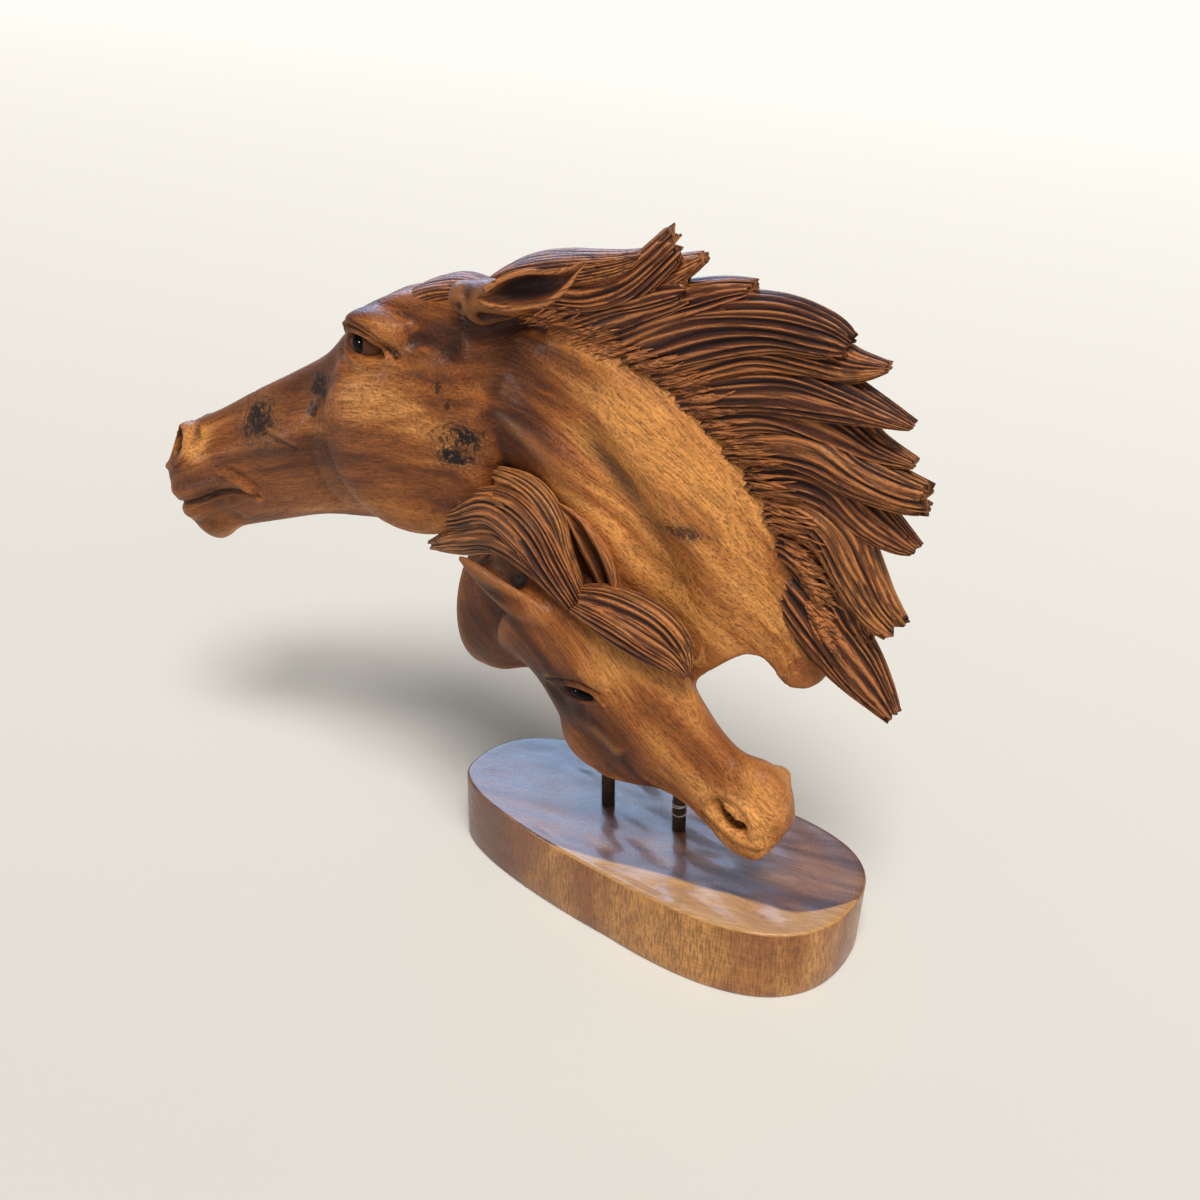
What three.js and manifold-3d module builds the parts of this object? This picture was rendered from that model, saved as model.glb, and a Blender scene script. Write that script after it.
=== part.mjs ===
// A wooden sculpture of two horses' heads, carved from one block: a stallion with its mane in the
// wind, and a smaller horse before its neck. Two metal rods hold it over an oval wooden slab.
// Millimetres, +Z up. The origin is the middle of the slab's underside, +X runs along the slab
// towards the tips of the mane, and the side that is meant to be seen faces -Y.
import * as THREE from 'three';
import { mergeVertices } from 'three/addons/utils/BufferGeometryUtils.js';
import Module from 'manifold-3d';

const wasm = await Module();
wasm.setup();

// Driving dimensions
const FIT_GAP = 0.3;

const BASE_HALF_LENGTH = 128;
const BASE_HALF_WIDTH = 54;
const BASE_SQUARENESS = 2.31;
const BASE_THICKNESS = 45;
const BASE_LEVELS = [[0, 1.6], [2, 0], [43, 0], [44.4, 0.6], [45, 2]];
const BASE_FAR_SWELL = { tilt: -0.04, ends: 0.23 };
const BASE_NEAR_SWELL = { tilt: 0.37, ends: 0.1 };
const BASE_TAPER = { all: -1, shoulder: -8, end: 3.5 };
const BASE_SIDES = 32;

const ROD_RADIUS = 4;
const ROD_PLACES = { left_rod: [-34, 5], right_rod: [14, 4] };
const ROD_BOTTOM = 17;
const ROD_TOP = 176;
const ROD_SIDES = 12;

const STALLION_Y = 14;
const HEAD_TURN = THREE.MathUtils.degToRad(5);
const HEAD_TURN_STARTS_X = -90;
const FOAL_Y = -26;

const MANE_Y = 12;
const SECTION_FULLNESS = 0.84;

// The middle plane of the stallion: straight through the neck, turned to the viewer in the head
const stallionMiddle = (x) => STALLION_Y + Math.tan(HEAD_TURN) * Math.min(0, x - HEAD_TURN_STARTS_X);

// Turns a geometry into a solid for joining and cutting
function solid(geometry) {
  const bare = geometry.clone();
  bare.deleteAttribute('normal');
  bare.deleteAttribute('uv');
  const merged = mergeVertices(bare, 1e-4);
  return new wasm.Manifold(new wasm.Mesh({
    numProp: 3,
    vertProperties: new Float32Array(merged.attributes.position.array),
    triVerts: new Uint32Array(merged.index.array),
  }));
}

// Turns a solid back into a geometry
function geometryOf(body) {
  const mesh = body.getMesh();
  const geometry = new THREE.BufferGeometry();
  geometry.setAttribute('position', new THREE.BufferAttribute(mesh.vertProperties, 3));
  geometry.setIndex(new THREE.BufferAttribute(mesh.triVerts, 1));
  const flat = geometry.toNonIndexed();
  flat.computeVertexNormals();
  return flat;
}

// Joins a list of solids into one
const joined = (bodies) => bodies.reduce((whole, body) => whole.add(body));

// Six times the volume inside a closed set of triangles, negative when its faces point inwards
function signedVolume(points, faces) {
  let sum = 0;
  for (let i = 0; i < faces.length; i += 3) {
    const [a, b, c] = [points[faces[i]], points[faces[i + 1]], points[faces[i + 2]]];
    sum += a.dot(new THREE.Vector3().crossVectors(b, c));
  }
  return sum;
}

// A closed solid through a row of rings with the same number of points, its ends filled from the middle
function loft(rings) {
  const sides = rings[0].length;
  const points = rings.flat();
  const faces = [];
  for (let i = 0; i + 1 < rings.length; i += 1) {
    for (let j = 0; j < sides; j += 1) {
      const a = i * sides + j;
      const b = i * sides + (j + 1) % sides;
      faces.push(a, b, b + sides, a, b + sides, a + sides);
    }
  }
  const closeEnd = (first, turned) => {
    const middle = new THREE.Vector3();
    for (let j = 0; j < sides; j += 1) middle.addScaledVector(points[first + j], 1 / sides);
    points.push(middle);
    const tip = points.length - 1;
    for (let j = 0; j < sides; j += 1) {
      const a = first + j;
      const b = first + (j + 1) % sides;
      if (turned) faces.push(b, a, tip);
      else faces.push(a, b, tip);
    }
  };
  closeEnd(0, true);
  closeEnd((rings.length - 1) * sides, false);
  if (signedVolume(points, faces) < 0) {
    for (let i = 0; i < faces.length; i += 3) [faces[i], faces[i + 1]] = [faces[i + 1], faces[i]];
  }
  const geometry = new THREE.BufferGeometry();
  const numbers = points.flatMap((point) => point.toArray());
  geometry.setAttribute('position', new THREE.Float32BufferAttribute(numbers, 3));
  geometry.setIndex(faces);
  return solid(geometry);
}

// Rows of numbers, run through by a smooth curve and read again at even steps
function smoothRows(rows, count) {
  const last = rows.length - 1;
  return Array.from({ length: count }, (_, k) => {
    const at = (k / (count - 1)) * last;
    const i = Math.min(Math.floor(at), last - 1);
    const t = at - i;
    const [before, from, to, after] = [Math.max(i - 1, 0), i, i + 1, Math.min(i + 2, last)];
    return rows[0].map((_, column) => {
      const [p, q, r, s] = [before, from, to, after].map((n) => rows[n][column]);
      return q + 0.5 * t * (r - p + t * (2 * p - 5 * q + 4 * r - s + t * (3 * (q - r) + s - p)));
    });
  });
}

// Rows that round off the end of a body: smaller and smaller sections, pushed out along (dx, dz)
const END_ANGLES = [60, 28];
const END_ROWS = END_ANGLES.length;
function roundEnd(row, dx, dz) {
  const angles = END_ANGLES.map(THREE.MathUtils.degToRad);
  const [xt, zt, xb, zb, ...widths] = row;
  const [xm, zm] = [(xt + xb) / 2, (zt + zb) / 2];
  return angles.map((angle) => {
    const size = Math.sin(angle);
    const push = Math.cos(angle);
    const move = (value, middle, out) => middle + (value - middle) * size + out * push;
    const top = [move(xt, xm, dx), move(zt, zm, dz)];
    const bottom = [move(xb, xm, dx), move(zb, zm, dz)];
    return [...top, ...bottom, ...widths.map((width) => width * size)];
  });
}

// One section of a head or neck, upright across its middle plane. A row holds the top and the bottom point
// (x, z) and the half widths near the top, at the middle and near the bottom. The relief swells the sides
// by an amount that depends on the place along the body, 0 to 1, and the height in the section, -1 to 1.
function bodySection([xt, zt, xb, zb, wTop, wMiddle, wBottom], middle, sides, place, relief) {
  const bent = (value) => Math.sign(value) * Math.abs(value) ** SECTION_FULLNESS;
  return Array.from({ length: sides }, (_, j) => {
    const turn = (j / sides) * 2 * Math.PI;
    const up = bent(Math.cos(turn));
    const out = bent(Math.sin(turn));
    const plain = wMiddle + ((wTop - wBottom) / 2) * up + ((wTop + wBottom) / 2 - wMiddle) * up * up;
    const halfWidth = plain + relief(place, up);
    const x = (xt + xb) / 2 + ((xt - xb) / 2) * up;
    const z = (zt + zb) / 2 + ((zt - zb) / 2) * up;
    return new THREE.Vector3(x, middle(x) + halfWidth * out, z);
  });
}

// A head or neck through its rows, its two ends rounded and pushed out along start and end (dx, dz)
function body(rows, middle, { steps, sides, start, end, relief = () => 0 }) {
  const smooth = smoothRows(rows, steps);
  const all = [
    ...roundEnd(smooth[0], ...start).reverse(),
    ...smooth,
    ...roundEnd(smooth[smooth.length - 1], ...end),
  ];
  const place = (i) => THREE.MathUtils.clamp((i - END_ROWS) / (steps - 1), 0, 1);
  return loft(all.map((row, i) => bodySection(row, middle, sides, place(i), relief)));
}

// A ball stretched to three half axes and turned about Y by an angle in degrees
function ball({ at, radii, turn = 0 }, across, along) {
  const geometry = new THREE.SphereGeometry(1, across, along);
  geometry.scale(...radii);
  geometry.rotateY(THREE.MathUtils.degToRad(turn));
  geometry.translate(...at);
  return solid(geometry);
}

// A lock, lid or ridge: a flat section swept along a curve. Each point of the path is x, y, z, half width
// (across the path, upright) and half thickness (along Y). Above 0, grooved is the depth of the furrows
// between the ridges that run along it. Its edges are thin where edge is 1, and blunt where it is less.
function strand(path, { steps = 8, sides = 10, grooved = 0.3, edge = 1 } = {}) {
  const rows = smoothRows(path, steps);
  return loft(rows.map(([x, y, z, half, thick], i) => {
    const before = rows[Math.max(i - 1, 0)];
    const after = rows[Math.min(i + 1, rows.length - 1)];
    const along = new THREE.Vector2(after[0] - before[0], after[2] - before[2]).normalize();
    return Array.from({ length: sides }, (_, j) => {
      const turn = (j / sides) * 2 * Math.PI;
      const across = Math.cos(turn) * half;
      const groove = j % 2 === 0 ? 1 - grooved : 1;
      const rise = Math.sign(Math.sin(turn)) * Math.abs(Math.sin(turn)) ** edge;
      return new THREE.Vector3(
        x - along.y * across,
        y + rise * thick * groove,
        z + along.x * across,
      );
    });
  }));
}

// A thin round cutter along a curve, for the line of a mouth
function groove(points, radius, steps) {
  const curve = new THREE.CatmullRomCurve3(points.map((p) => new THREE.Vector3(...p)));
  const shape = new THREE.Shape();
  shape.absarc(0, 0, radius, 0, 2 * Math.PI);
  const options = { steps, extrudePath: curve, bevelEnabled: false, curveSegments: 3 };
  return solid(new THREE.ExtrudeGeometry(shape, options));
}

// The same solid on the other side of a middle plane
function mirrored(geometrySolid, planeY) {
  return geometrySolid.translate([0, -planeY, 0]).mirror([0, 1, 0]).translate([0, planeY, 0]);
}

// The stallion's head, from the lips to behind the ears
const HEAD_ROWS = [
  [-332, 216, -328, 184, 14, 17, 13],
  [-328, 228, -321, 166, 17, 20, 16],
  [-317, 236, -309, 156, 20, 22, 16],
  [-298, 246, -292, 168, 17, 21, 15],
  [-268, 264, -260, 180, 17, 22, 16],
  [-238, 281, -224, 192, 20, 24, 18],
  [-213, 297, -192, 197, 25, 27, 20],
  [-188, 322, -158, 202, 27, 29, 22],
  [-152, 343, -125, 212, 26, 30, 23],
  [-112, 351, -98, 226, 22, 29, 24],
  [-76, 348, -78, 232, 14, 24, 18],
];
const HEAD_ENDS = { start: [-3, -1], end: [10, -4] };
const stallionHead = body(HEAD_ROWS, stallionMiddle, { steps: 16, sides: 16, ...HEAD_ENDS });

// The neck, from the poll down to where it is cut off over the rods
const NECK_ROWS = [
  [-104, 346, -112, 246, 14, 23, 18],
  [-66, 351, -86, 224, 16, 30, 22],
  [-32, 343, -72, 200, 15, 32, 22],
  [2, 327, -62, 176, 15, 33, 23],
  [34, 304, -52, 154, 15, 33, 24],
  [62, 273, -42, 134, 15, 32, 24],
  [80, 236, -26, 122, 15, 31, 24],
  [90, 196, 0, 118, 15, 29, 24],
  [94, 160, 36, 118, 15, 27, 22],
];

// The long muscles that run from the cheek and the ear down the neck: two ridges with a valley between
// them, each with its height, its half width and where it lies at the top and the foot of the neck
const NECK_MUSCLES = [
  { height: 3.5, spread: 0.2, from: 0.85, to: 0.25 },
  { height: -5, spread: 0.16, from: 0.55, to: -0.2 },
  { height: 4.5, spread: 0.22, from: 0.15, to: -0.7 },
];
const MUSCLES_END = 0.8;
function neckRelief(place, up) {
  const swell = Math.sin(Math.PI * THREE.MathUtils.clamp(place / MUSCLES_END, 0, 1));
  const muscles = NECK_MUSCLES.map(({ height, spread, from, to }) => {
    const away = (up - THREE.MathUtils.lerp(from, to, place)) / spread;
    return height * Math.exp(-away * away);
  });
  return swell * muscles.reduce((sum, value) => sum + value);
}
const NECK_ENDS = { start: [-6, 4], end: [4, -6] };
const neckUncut = body(NECK_ROWS, stallionMiddle, { steps: 13, sides: 20, ...NECK_ENDS, relief: neckRelief });

// The broad cheek: a round, shallow dome on both sides of the head. It leans so that its edge is firm in
// front and below, and sinks into the head behind and above.
const CHEEK = { x: -147, z: 266, radius: 58, out: 38, step: 16, turn: 5, lean: -5 };
const CHEEK_SIDES = 18;
const CHEEK_PROFILE = [[0, -1], [0.95, -1], [1, 0.1], [0.94, 0.48], [0.8, 0.74], [0.5, 0.93], [0, 1]];
function cheek() {
  const points = CHEEK_PROFILE.map(([r, h]) => new THREE.Vector2(r * CHEEK.radius, h * CHEEK.step));
  const geometry = new THREE.LatheGeometry(points, CHEEK_SIDES);
  geometry.rotateX(Math.PI + THREE.MathUtils.degToRad(CHEEK.lean));
  geometry.rotateZ(THREE.MathUtils.degToRad(CHEEK.turn));
  geometry.translate(CHEEK.x, stallionMiddle(CHEEK.x) - CHEEK.out + CHEEK.step, CHEEK.z);
  return solid(geometry);
}

// What is added on each side of the stallion's head: the eye, its brow, the rim of the nostril, the round
// root of the ear, the lips and the chin
const STALLION_EYE = { at: [-179, -11, 311], radii: [9.5, 9.5, 9.5] };
const STALLION_BROW = [
  [-191, -11, 314, 4, 4], [-186, -15, 323, 6, 7], [-171, -19, 326, 6, 8], [-156, -19, 319, 5, 6],
  [-145, -17, 312, 3, 4],
];
const STALLION_ORBIT = { at: [-169, -9, 312], radii: [21, 14, 15], turn: -20 };
const STALLION_NOSTRIL = { at: [-323, -22, 226], radii: [6, 6, 8], turn: -30 };
const STALLION_NOSTRIL_RIM = { at: [-318, -17, 225], radii: [11, 7, 12], turn: -30 };
const STALLION_UPPER_LIP = [
  [-332, -14, 198, 4, 6], [-316, -20, 202, 6, 6], [-296, -20, 208, 5, 5], [-278, -18, 210, 3, 4],
];
const STALLION_CHIN = [
  [-318, -8, 172, 6, 7], [-308, -10, 170, 9, 9], [-294, -10, 176, 7, 7], [-276, -9, 184, 3, 4],
];
const STALLION_MOUTH = [
  [-262, -23, 205], [-278, -24, 203], [-296, -28, 199], [-316, -29, 192], [-334, -24, 186], [-341, -9, 184],
  [-334, 8, 186], [-316, 16, 192], [-296, 16, 199], [-278, 15, 203], [-262, 17, 205],
];
const STALLION_MOUTH_RADIUS = 2;

// The stallion's ear, laid back, and the hollow in it
const STALLION_EAR = [
  [-114, -4, 342, 5, 6], [-103, -7, 345, 12, 14], [-87, -9, 349, 12, 14], [-71, -14, 356, 11, 11],
  [-54, -17, 364, 11, 7], [-43, -16, 371, 7, 5], [-33, -14, 379, 1.5, 2],
];
const STALLION_EAR_HOLLOW = [
  [-87, -26, 355, 2, 4], [-70, -26, 361, 5, 6], [-53, -26, 368, 6, 6], [-41, -23, 375, 2.5, 4],
];

// The swelling of the forelock over the brow, and the hair between the ears
const STALLION_FORELOCK = [
  [-169, 8, 329, 4, 8], [-156, 8, 336, 7, 14], [-140, 9, 342, 7, 15], [-122, 10, 345, 7, 12],
  [-106, 11, 347, 4, 8],
];

// The stallion's mane: each lock is x, z and half width at every point of its path
const MANE_LOCKS = [
  [[-108, 346, 7], [-84, 351, 11], [-62, 355, 12], [-42, 358, 11], [-22, 367, 10], [2, 391, 9]],
  [[-87, 340, 10], [-56, 350, 13], [-27, 361, 11], [-6, 371, 8], [13, 382, 3]],
  [[-68, 335, 10], [-38, 347, 12], [-13, 358, 11], [9, 366, 6]],
  [[-56, 328, 11], [-27, 340, 12], [0, 354, 12], [24, 364, 9], [41, 370, 5]],
  [[-41, 323, 11], [-10, 337, 15], [22, 350, 15], [53, 357, 13], [78, 356, 10], [92, 353, 6]],
  [[-24, 315, 11], [12, 332, 13], [43, 344, 13], [73, 344, 11], [93, 342, 7], [110, 345, 2]],
  [[-7, 307, 11], [29, 321, 13], [60, 328, 13], [87, 327, 10], [108, 324, 6], [126, 321, 2]],
  [[10, 300, 11], [42, 313, 13], [66, 316, 13], [87, 311, 11], [107, 303, 7], [127, 300, 2]],
  [[26, 290, 11], [56, 300, 13], [80, 301, 13], [102, 292, 11], [123, 287, 9], [139, 286, 7]],
  [[39, 276, 11], [68, 285, 13], [88, 282, 13], [105, 269, 11], [121, 260, 7], [133, 255, 3]],
  [[51, 260, 11], [73, 267, 13], [92, 259, 14], [103, 242, 12], [116, 223, 10], [130, 211, 7]],
  [[57, 247, 9], [77, 245, 13], [94, 226, 13], [105, 205, 10], [114, 197, 4]],
  [[63, 231, 8], [80, 218, 15], [96, 199, 15], [113, 181, 12], [133, 161, 4]],
];
const MANE_ROOT_THICKNESS = 15;
const MANE_TIP_THICKNESS = 5;
const MANE_LAYER = 3;
const MANE_TAPER = 1.7;
function maneLock(line, index) {
  const layer = index % 2 === 0 ? -MANE_LAYER : MANE_LAYER;
  return strand(line.map(([x, z, half], i) => {
    const t = i / (line.length - 1);
    const thick = THREE.MathUtils.lerp(MANE_ROOT_THICKNESS, MANE_TIP_THICKNESS, t ** MANE_TAPER);
    return [x, MANE_Y + layer * t, z, half, thick];
  }), { steps: line.length * 2 - 3, sides: 8, edge: 0.7 });
}

// The sheet between the locks, which closes the mane as far as the notches in its edge
const MANE_SHEET = [
  [-90, 340], [-28, 360], [2, 358], [46, 354], [78, 344], [90, 322], [98, 304], [101, 280], [95, 258],
  [97, 232], [98, 200], [88, 178], [76, 180], [56, 245], [0, 305],
];
const MANE_SHEET_THICKNESS = 9;
function maneSheet() {
  const shape = new THREE.Shape(MANE_SHEET.map(([x, z]) => new THREE.Vector2(x, z)));
  const geometry = new THREE.ExtrudeGeometry(shape, { depth: MANE_SHEET_THICKNESS, bevelEnabled: false });
  geometry.rotateX(Math.PI / 2);
  geometry.translate(0, MANE_Y + MANE_SHEET_THICKNESS / 2, 0);
  return solid(geometry);
}

// The wavy saw cut under the neck, with the arch and the lobe at its right end
const CUT_LINE = [
  [-84, 140], [-50, 142], [-20, 142], [5, 147], [26, 160], [41, 174], [55, 184], [66, 182], [76, 169],
  [87, 166], [97, 174], [112, 186],
];
const CUT_FLOOR = 60;
const CUT_HALF_WIDTH = 80;
function neckCut() {
  const line = CUT_LINE.map(([x, z]) => new THREE.Vector2(x, z));
  const shape = new THREE.Shape();
  shape.moveTo(line[0].x, CUT_FLOOR);
  shape.lineTo(line[0].x, line[0].y);
  shape.splineThru(line.slice(1));
  shape.lineTo(line[line.length - 1].x, CUT_FLOOR);
  const options = { depth: 2 * CUT_HALF_WIDTH, bevelEnabled: false, curveSegments: 2 };
  const geometry = new THREE.ExtrudeGeometry(shape, options);
  geometry.rotateX(Math.PI / 2);
  geometry.translate(0, CUT_HALF_WIDTH, 0);
  return solid(geometry);
}

// The smaller horse's head, from the poll to the muzzle
const FOAL_HEAD_ROWS = [
  [-50, 214, -80, 160, 16, 22, 18],
  [-31, 210, -60, 150, 19, 22, 19],
  [-8, 202, -44, 128, 21, 23, 20],
  [13, 189, -33, 108, 21, 24, 20],
  [27, 173, -18, 95, 20, 23, 18],
  [38, 157, 2, 95, 17, 20, 15],
  [51, 142, 17, 98, 14, 17, 13],
  [64, 133, 33, 94, 13, 15, 12],
  [79, 132, 48, 84, 14, 16, 13],
  [91, 121, 62, 75, 15, 18, 14],
  [95, 105, 75, 72, 12, 14, 11],
];
const FOAL_HEAD_ENDS = { start: [-10, 6], end: [3, -3] };
const foalHead = body(FOAL_HEAD_ROWS, () => FOAL_Y, { steps: 14, sides: 14, ...FOAL_HEAD_ENDS });

// The short neck of the smaller horse, rounded off at the lower left
const FOAL_NECK_ROWS = [
  [-38, 205, -56, 144, 18, 22, 18],
  [-60, 222, -72, 141, 17, 22, 19],
  [-86, 226, -90, 134, 14, 23, 20],
  [-108, 206, -104, 135, 12, 21, 18],
];
const FOAL_NECK_Y = -14;
const FOAL_NECK_ENDS = { start: [6, 0], end: [-10, 0] };
const foalNeck = body(FOAL_NECK_ROWS, () => FOAL_NECK_Y, { steps: 7, sides: 14, ...FOAL_NECK_ENDS });

// What is added on each side of the smaller horse's head
const FOAL_EYE = { at: [-20, -44.5, 157], radii: [7, 7, 7] };
const FOAL_BROW = [[-40, -43, 158, 2, 4], [-29, -46, 166, 4, 5], [-17, -46, 168, 4, 5], [-6, -44, 161, 2, 3]];
const FOAL_CHEEK = { at: [-15, -37, 128], radii: [25, 12, 24], turn: 30 };
const FOAL_NOSTRIL = { at: [66, -44, 105], radii: [6, 4, 4], turn: 30 };
const FOAL_NOSTRIL_RIM = { at: [70, -38, 108], radii: [10, 6, 8], turn: 30 };
const FOAL_MOUTH = [
  [56, -44, 93], [70, -45, 93], [86, -42, 92], [96, -34, 92], [99, -26, 92], [96, -18, 92], [86, -10, 92],
  [70, -7, 93], [56, -8, 93],
];
const FOAL_MOUTH_RADIUS = 1.6;

// The smaller horse's ears: the near one stands out, the far one is carved against the stallion's neck
const FOAL_NEAR_EAR = [
  [-40, -42, 192, 8, 6], [-54, -45, 197, 9, 6], [-72, -48, 206, 8, 5], [-86, -49, 215, 5, 4],
  [-96, -49, 221, 1.5, 2],
];
const FOAL_FAR_EAR = [
  [-12, -28, 204, 6, 7], [-22, -27, 218, 9, 8], [-31, -25, 230, 8, 7], [-40, -22, 241, 5, 5],
  [-48, -20, 249, 1.5, 2],
];
const FOAL_FAR_EAR_HOLLOW = [[-22, -37, 214, 3, 4], [-32, -35, 228, 4, 5], [-42, -30, 241, 2, 4]];

// The smaller horse's mane, swept up and back from the poll, and its forelock
const FOAL_LOCKS = [
  [[-26, -41, 208, 6, 7], [-42, -39, 226, 13, 9], [-57, -35, 241, 16, 10], [-76, -29, 250, 14, 9]],
  [[-26, -39, 214, 5, 7], [-35, -35, 229, 10, 8], [-47, -29, 242, 12, 9], [-64, -25, 252, 9, 7]],
  [
    [-33, -40, 211, 6, 7], [-57, -36, 228, 11, 9], [-82, -30, 234, 13, 10], [-110, -22, 226, 9, 7],
    [-136, -16, 214, 3, 3],
  ],
  [
    [-34, -40, 205, 5, 6], [-58, -35, 214, 10, 9], [-84, -29, 217, 12, 9], [-113, -20, 208, 9, 7],
    [-140, -15, 196, 3, 3],
  ],
  [
    [-30, -38, 210, 5, 6], [-8, -36, 210, 9, 10], [15, -34, 203, 10, 10], [28, -33, 192, 8, 8],
    [35, -34, 179, 2, 3],
  ],
  [
    [-28, -41, 207, 5, 6], [-8, -43, 204, 8, 8], [12, -43, 197, 9, 8], [27, -40, 189, 7, 6],
    [37, -37, 180, 2, 3],
  ],
];

// Everything that is shaped in pairs goes on both sides of its horse's middle plane
const bothSides = (body, planeY) => [body, mirrored(body, planeY)];
const headPair = (body, x) => bothSides(body, stallionMiddle(x));
const EAR_X = STALLION_EAR[1][0];
const plain = (path, steps, sides) => strand(path, { steps, sides, grooved: 0 });

const stallionParts = [
  stallionHead,
  neckUncut,
  ...headPair(cheek(), CHEEK.x),
  ...headPair(ball(STALLION_ORBIT, 10, 7), STALLION_EYE.at[0]),
  ...headPair(plain(STALLION_BROW, 6, 6), STALLION_EYE.at[0]),
  ...headPair(ball(STALLION_NOSTRIL_RIM, 8, 7), STALLION_NOSTRIL.at[0]),
  ...headPair(plain(STALLION_UPPER_LIP, 5, 6), STALLION_MOUTH[3][0]),
  ...headPair(plain(STALLION_CHIN, 5, 6), STALLION_CHIN[1][0]),
  ...headPair(plain(STALLION_EAR, 7, 8), EAR_X),
  strand(STALLION_FORELOCK, { steps: 7, sides: 8, grooved: 0.15 }),
];
const stallionCuts = [
  neckCut(),
  ...headPair(ball(STALLION_NOSTRIL, 8, 6), STALLION_NOSTRIL.at[0]),
  ...headPair(plain(STALLION_EAR_HOLLOW, 6, 6), EAR_X),
  groove(STALLION_MOUTH, STALLION_MOUTH_RADIUS, 11),
];
const maneParts = [maneSheet(), ...MANE_LOCKS.map(maneLock)];

const foalParts = [
  foalHead,
  foalNeck,
  ...bothSides(ball(FOAL_CHEEK, 12, 6), FOAL_Y),
  ...bothSides(plain(FOAL_BROW, 5, 6), FOAL_Y),
  ...bothSides(ball(FOAL_NOSTRIL_RIM, 10, 6), FOAL_Y),
  plain(FOAL_NEAR_EAR, 6, 8),
  plain(FOAL_FAR_EAR, 6, 8),
  ...FOAL_LOCKS.map((path) => strand(path, { steps: 5, sides: 8, edge: 0.8 })),
];
const foalCuts = [
  ...bothSides(ball(FOAL_NOSTRIL, 8, 6), FOAL_Y),
  plain(FOAL_FAR_EAR_HOLLOW, 4, 6),
  groove(FOAL_MOUTH, FOAL_MOUTH_RADIUS, 9),
];
const eyes = [
  ...headPair(ball(STALLION_EYE, 12, 7), STALLION_EYE.at[0]),
  ...bothSides(ball(FOAL_EYE, 10, 6), FOAL_Y),
];

const stallion = joined(stallionParts).subtract(joined(stallionCuts));
const foal = joined(foalParts).subtract(joined(foalCuts));
let carvingSolid = joined([stallion, ...maneParts, foal, ...eyes]);

// The rods and the holes they stand in
function rodSolid([x, y], radius, bottom, top) {
  const geometry = new THREE.CylinderGeometry(radius, radius, top - bottom, ROD_SIDES);
  geometry.rotateX(Math.PI / 2);
  geometry.translate(x, y, (bottom + top) / 2);
  return solid(geometry);
}

// The slab: its outline is fuller at the near side of the right end, and it tapers under that end
function baseOutline(inset, taper) {
  return Array.from({ length: BASE_SIDES }, (_, j) => {
    const turn = (j / BASE_SIDES) * 2 * Math.PI;
    const bent = (value) => Math.sign(value) * Math.abs(value) ** (2 / BASE_SQUARENESS);
    const along = bent(Math.cos(turn));
    const across = bent(Math.sin(turn));
    const { tilt, ends } = across > 0 ? BASE_FAR_SWELL : BASE_NEAR_SWELL;
    const swell = 1 + tilt * along + ends * along ** 2;
    const right = Math.max(along, 0);
    const { all, shoulder, end } = BASE_TAPER;
    const pullIn = inset + taper * (all + shoulder * right * (1 - right) + end * right ** 4);
    const x = BASE_HALF_LENGTH * along;
    const y = BASE_HALF_WIDTH * across * swell;
    const reach = Math.hypot(x, y);
    return new THREE.Vector2(x, y).multiplyScalar((reach - pullIn) / reach);
  });
}
function baseSolid() {
  return loft(BASE_LEVELS.map(([z, inset]) => {
    const taper = 1 - z / BASE_THICKNESS;
    return baseOutline(inset, taper).map(({ x, y }) => new THREE.Vector3(x, y, z));
  }));
}

let slab = baseSolid();
const rods = {};
for (const [name, place] of Object.entries(ROD_PLACES)) {
  rods[name] = rodSolid(place, ROD_RADIUS, ROD_BOTTOM, ROD_TOP);
  const hole = rodSolid(place, ROD_RADIUS + FIT_GAP, ROD_BOTTOM - FIT_GAP, ROD_TOP + FIT_GAP);
  slab = slab.subtract(hole);
  carvingSolid = carvingSolid.subtract(hole);
}

// The sculpture, one mesh for each separate piece
const carvedWood = new THREE.MeshStandardMaterial({ color: 0x9a5c2c, roughness: 0.42, metalness: 0 });
const slabWood = new THREE.MeshStandardMaterial({ color: 0x8d5330, roughness: 0.35, metalness: 0 });
const darkMetal = new THREE.MeshStandardMaterial({ color: 0x4a4038, roughness: 0.4, metalness: 0.9 });

const sculpture = new THREE.Group();
function addPiece(name, body, material) {
  const mesh = new THREE.Mesh(geometryOf(body), material);
  mesh.name = name;
  sculpture.add(mesh);
}
addPiece('horse_heads_carving', carvingSolid, carvedWood);
addPiece('oval_base', slab, slabWood);
for (const [name, rod] of Object.entries(rods)) addPiece(name, rod, darkMetal);

export default sculpture;
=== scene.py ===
import math

import bmesh
import bpy
import numpy as np
from mathutils import Matrix, Vector
from mathutils.bvhtree import BVHTree


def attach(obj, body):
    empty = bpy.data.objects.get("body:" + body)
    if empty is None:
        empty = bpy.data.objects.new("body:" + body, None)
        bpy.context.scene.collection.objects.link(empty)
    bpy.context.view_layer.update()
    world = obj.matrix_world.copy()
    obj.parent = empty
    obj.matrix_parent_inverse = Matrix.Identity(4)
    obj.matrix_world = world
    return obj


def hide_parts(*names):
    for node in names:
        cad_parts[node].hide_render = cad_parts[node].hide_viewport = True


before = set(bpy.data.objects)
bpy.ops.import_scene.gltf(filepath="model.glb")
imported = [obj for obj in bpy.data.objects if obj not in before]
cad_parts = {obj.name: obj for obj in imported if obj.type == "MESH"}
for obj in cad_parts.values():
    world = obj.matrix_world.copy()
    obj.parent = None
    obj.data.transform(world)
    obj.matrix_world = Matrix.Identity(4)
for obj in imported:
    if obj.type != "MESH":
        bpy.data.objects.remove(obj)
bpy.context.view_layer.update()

# The viewpoint of the photograph: from the right, well above the slab.
camera_data = bpy.data.cameras.new("viewpoint")
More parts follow.
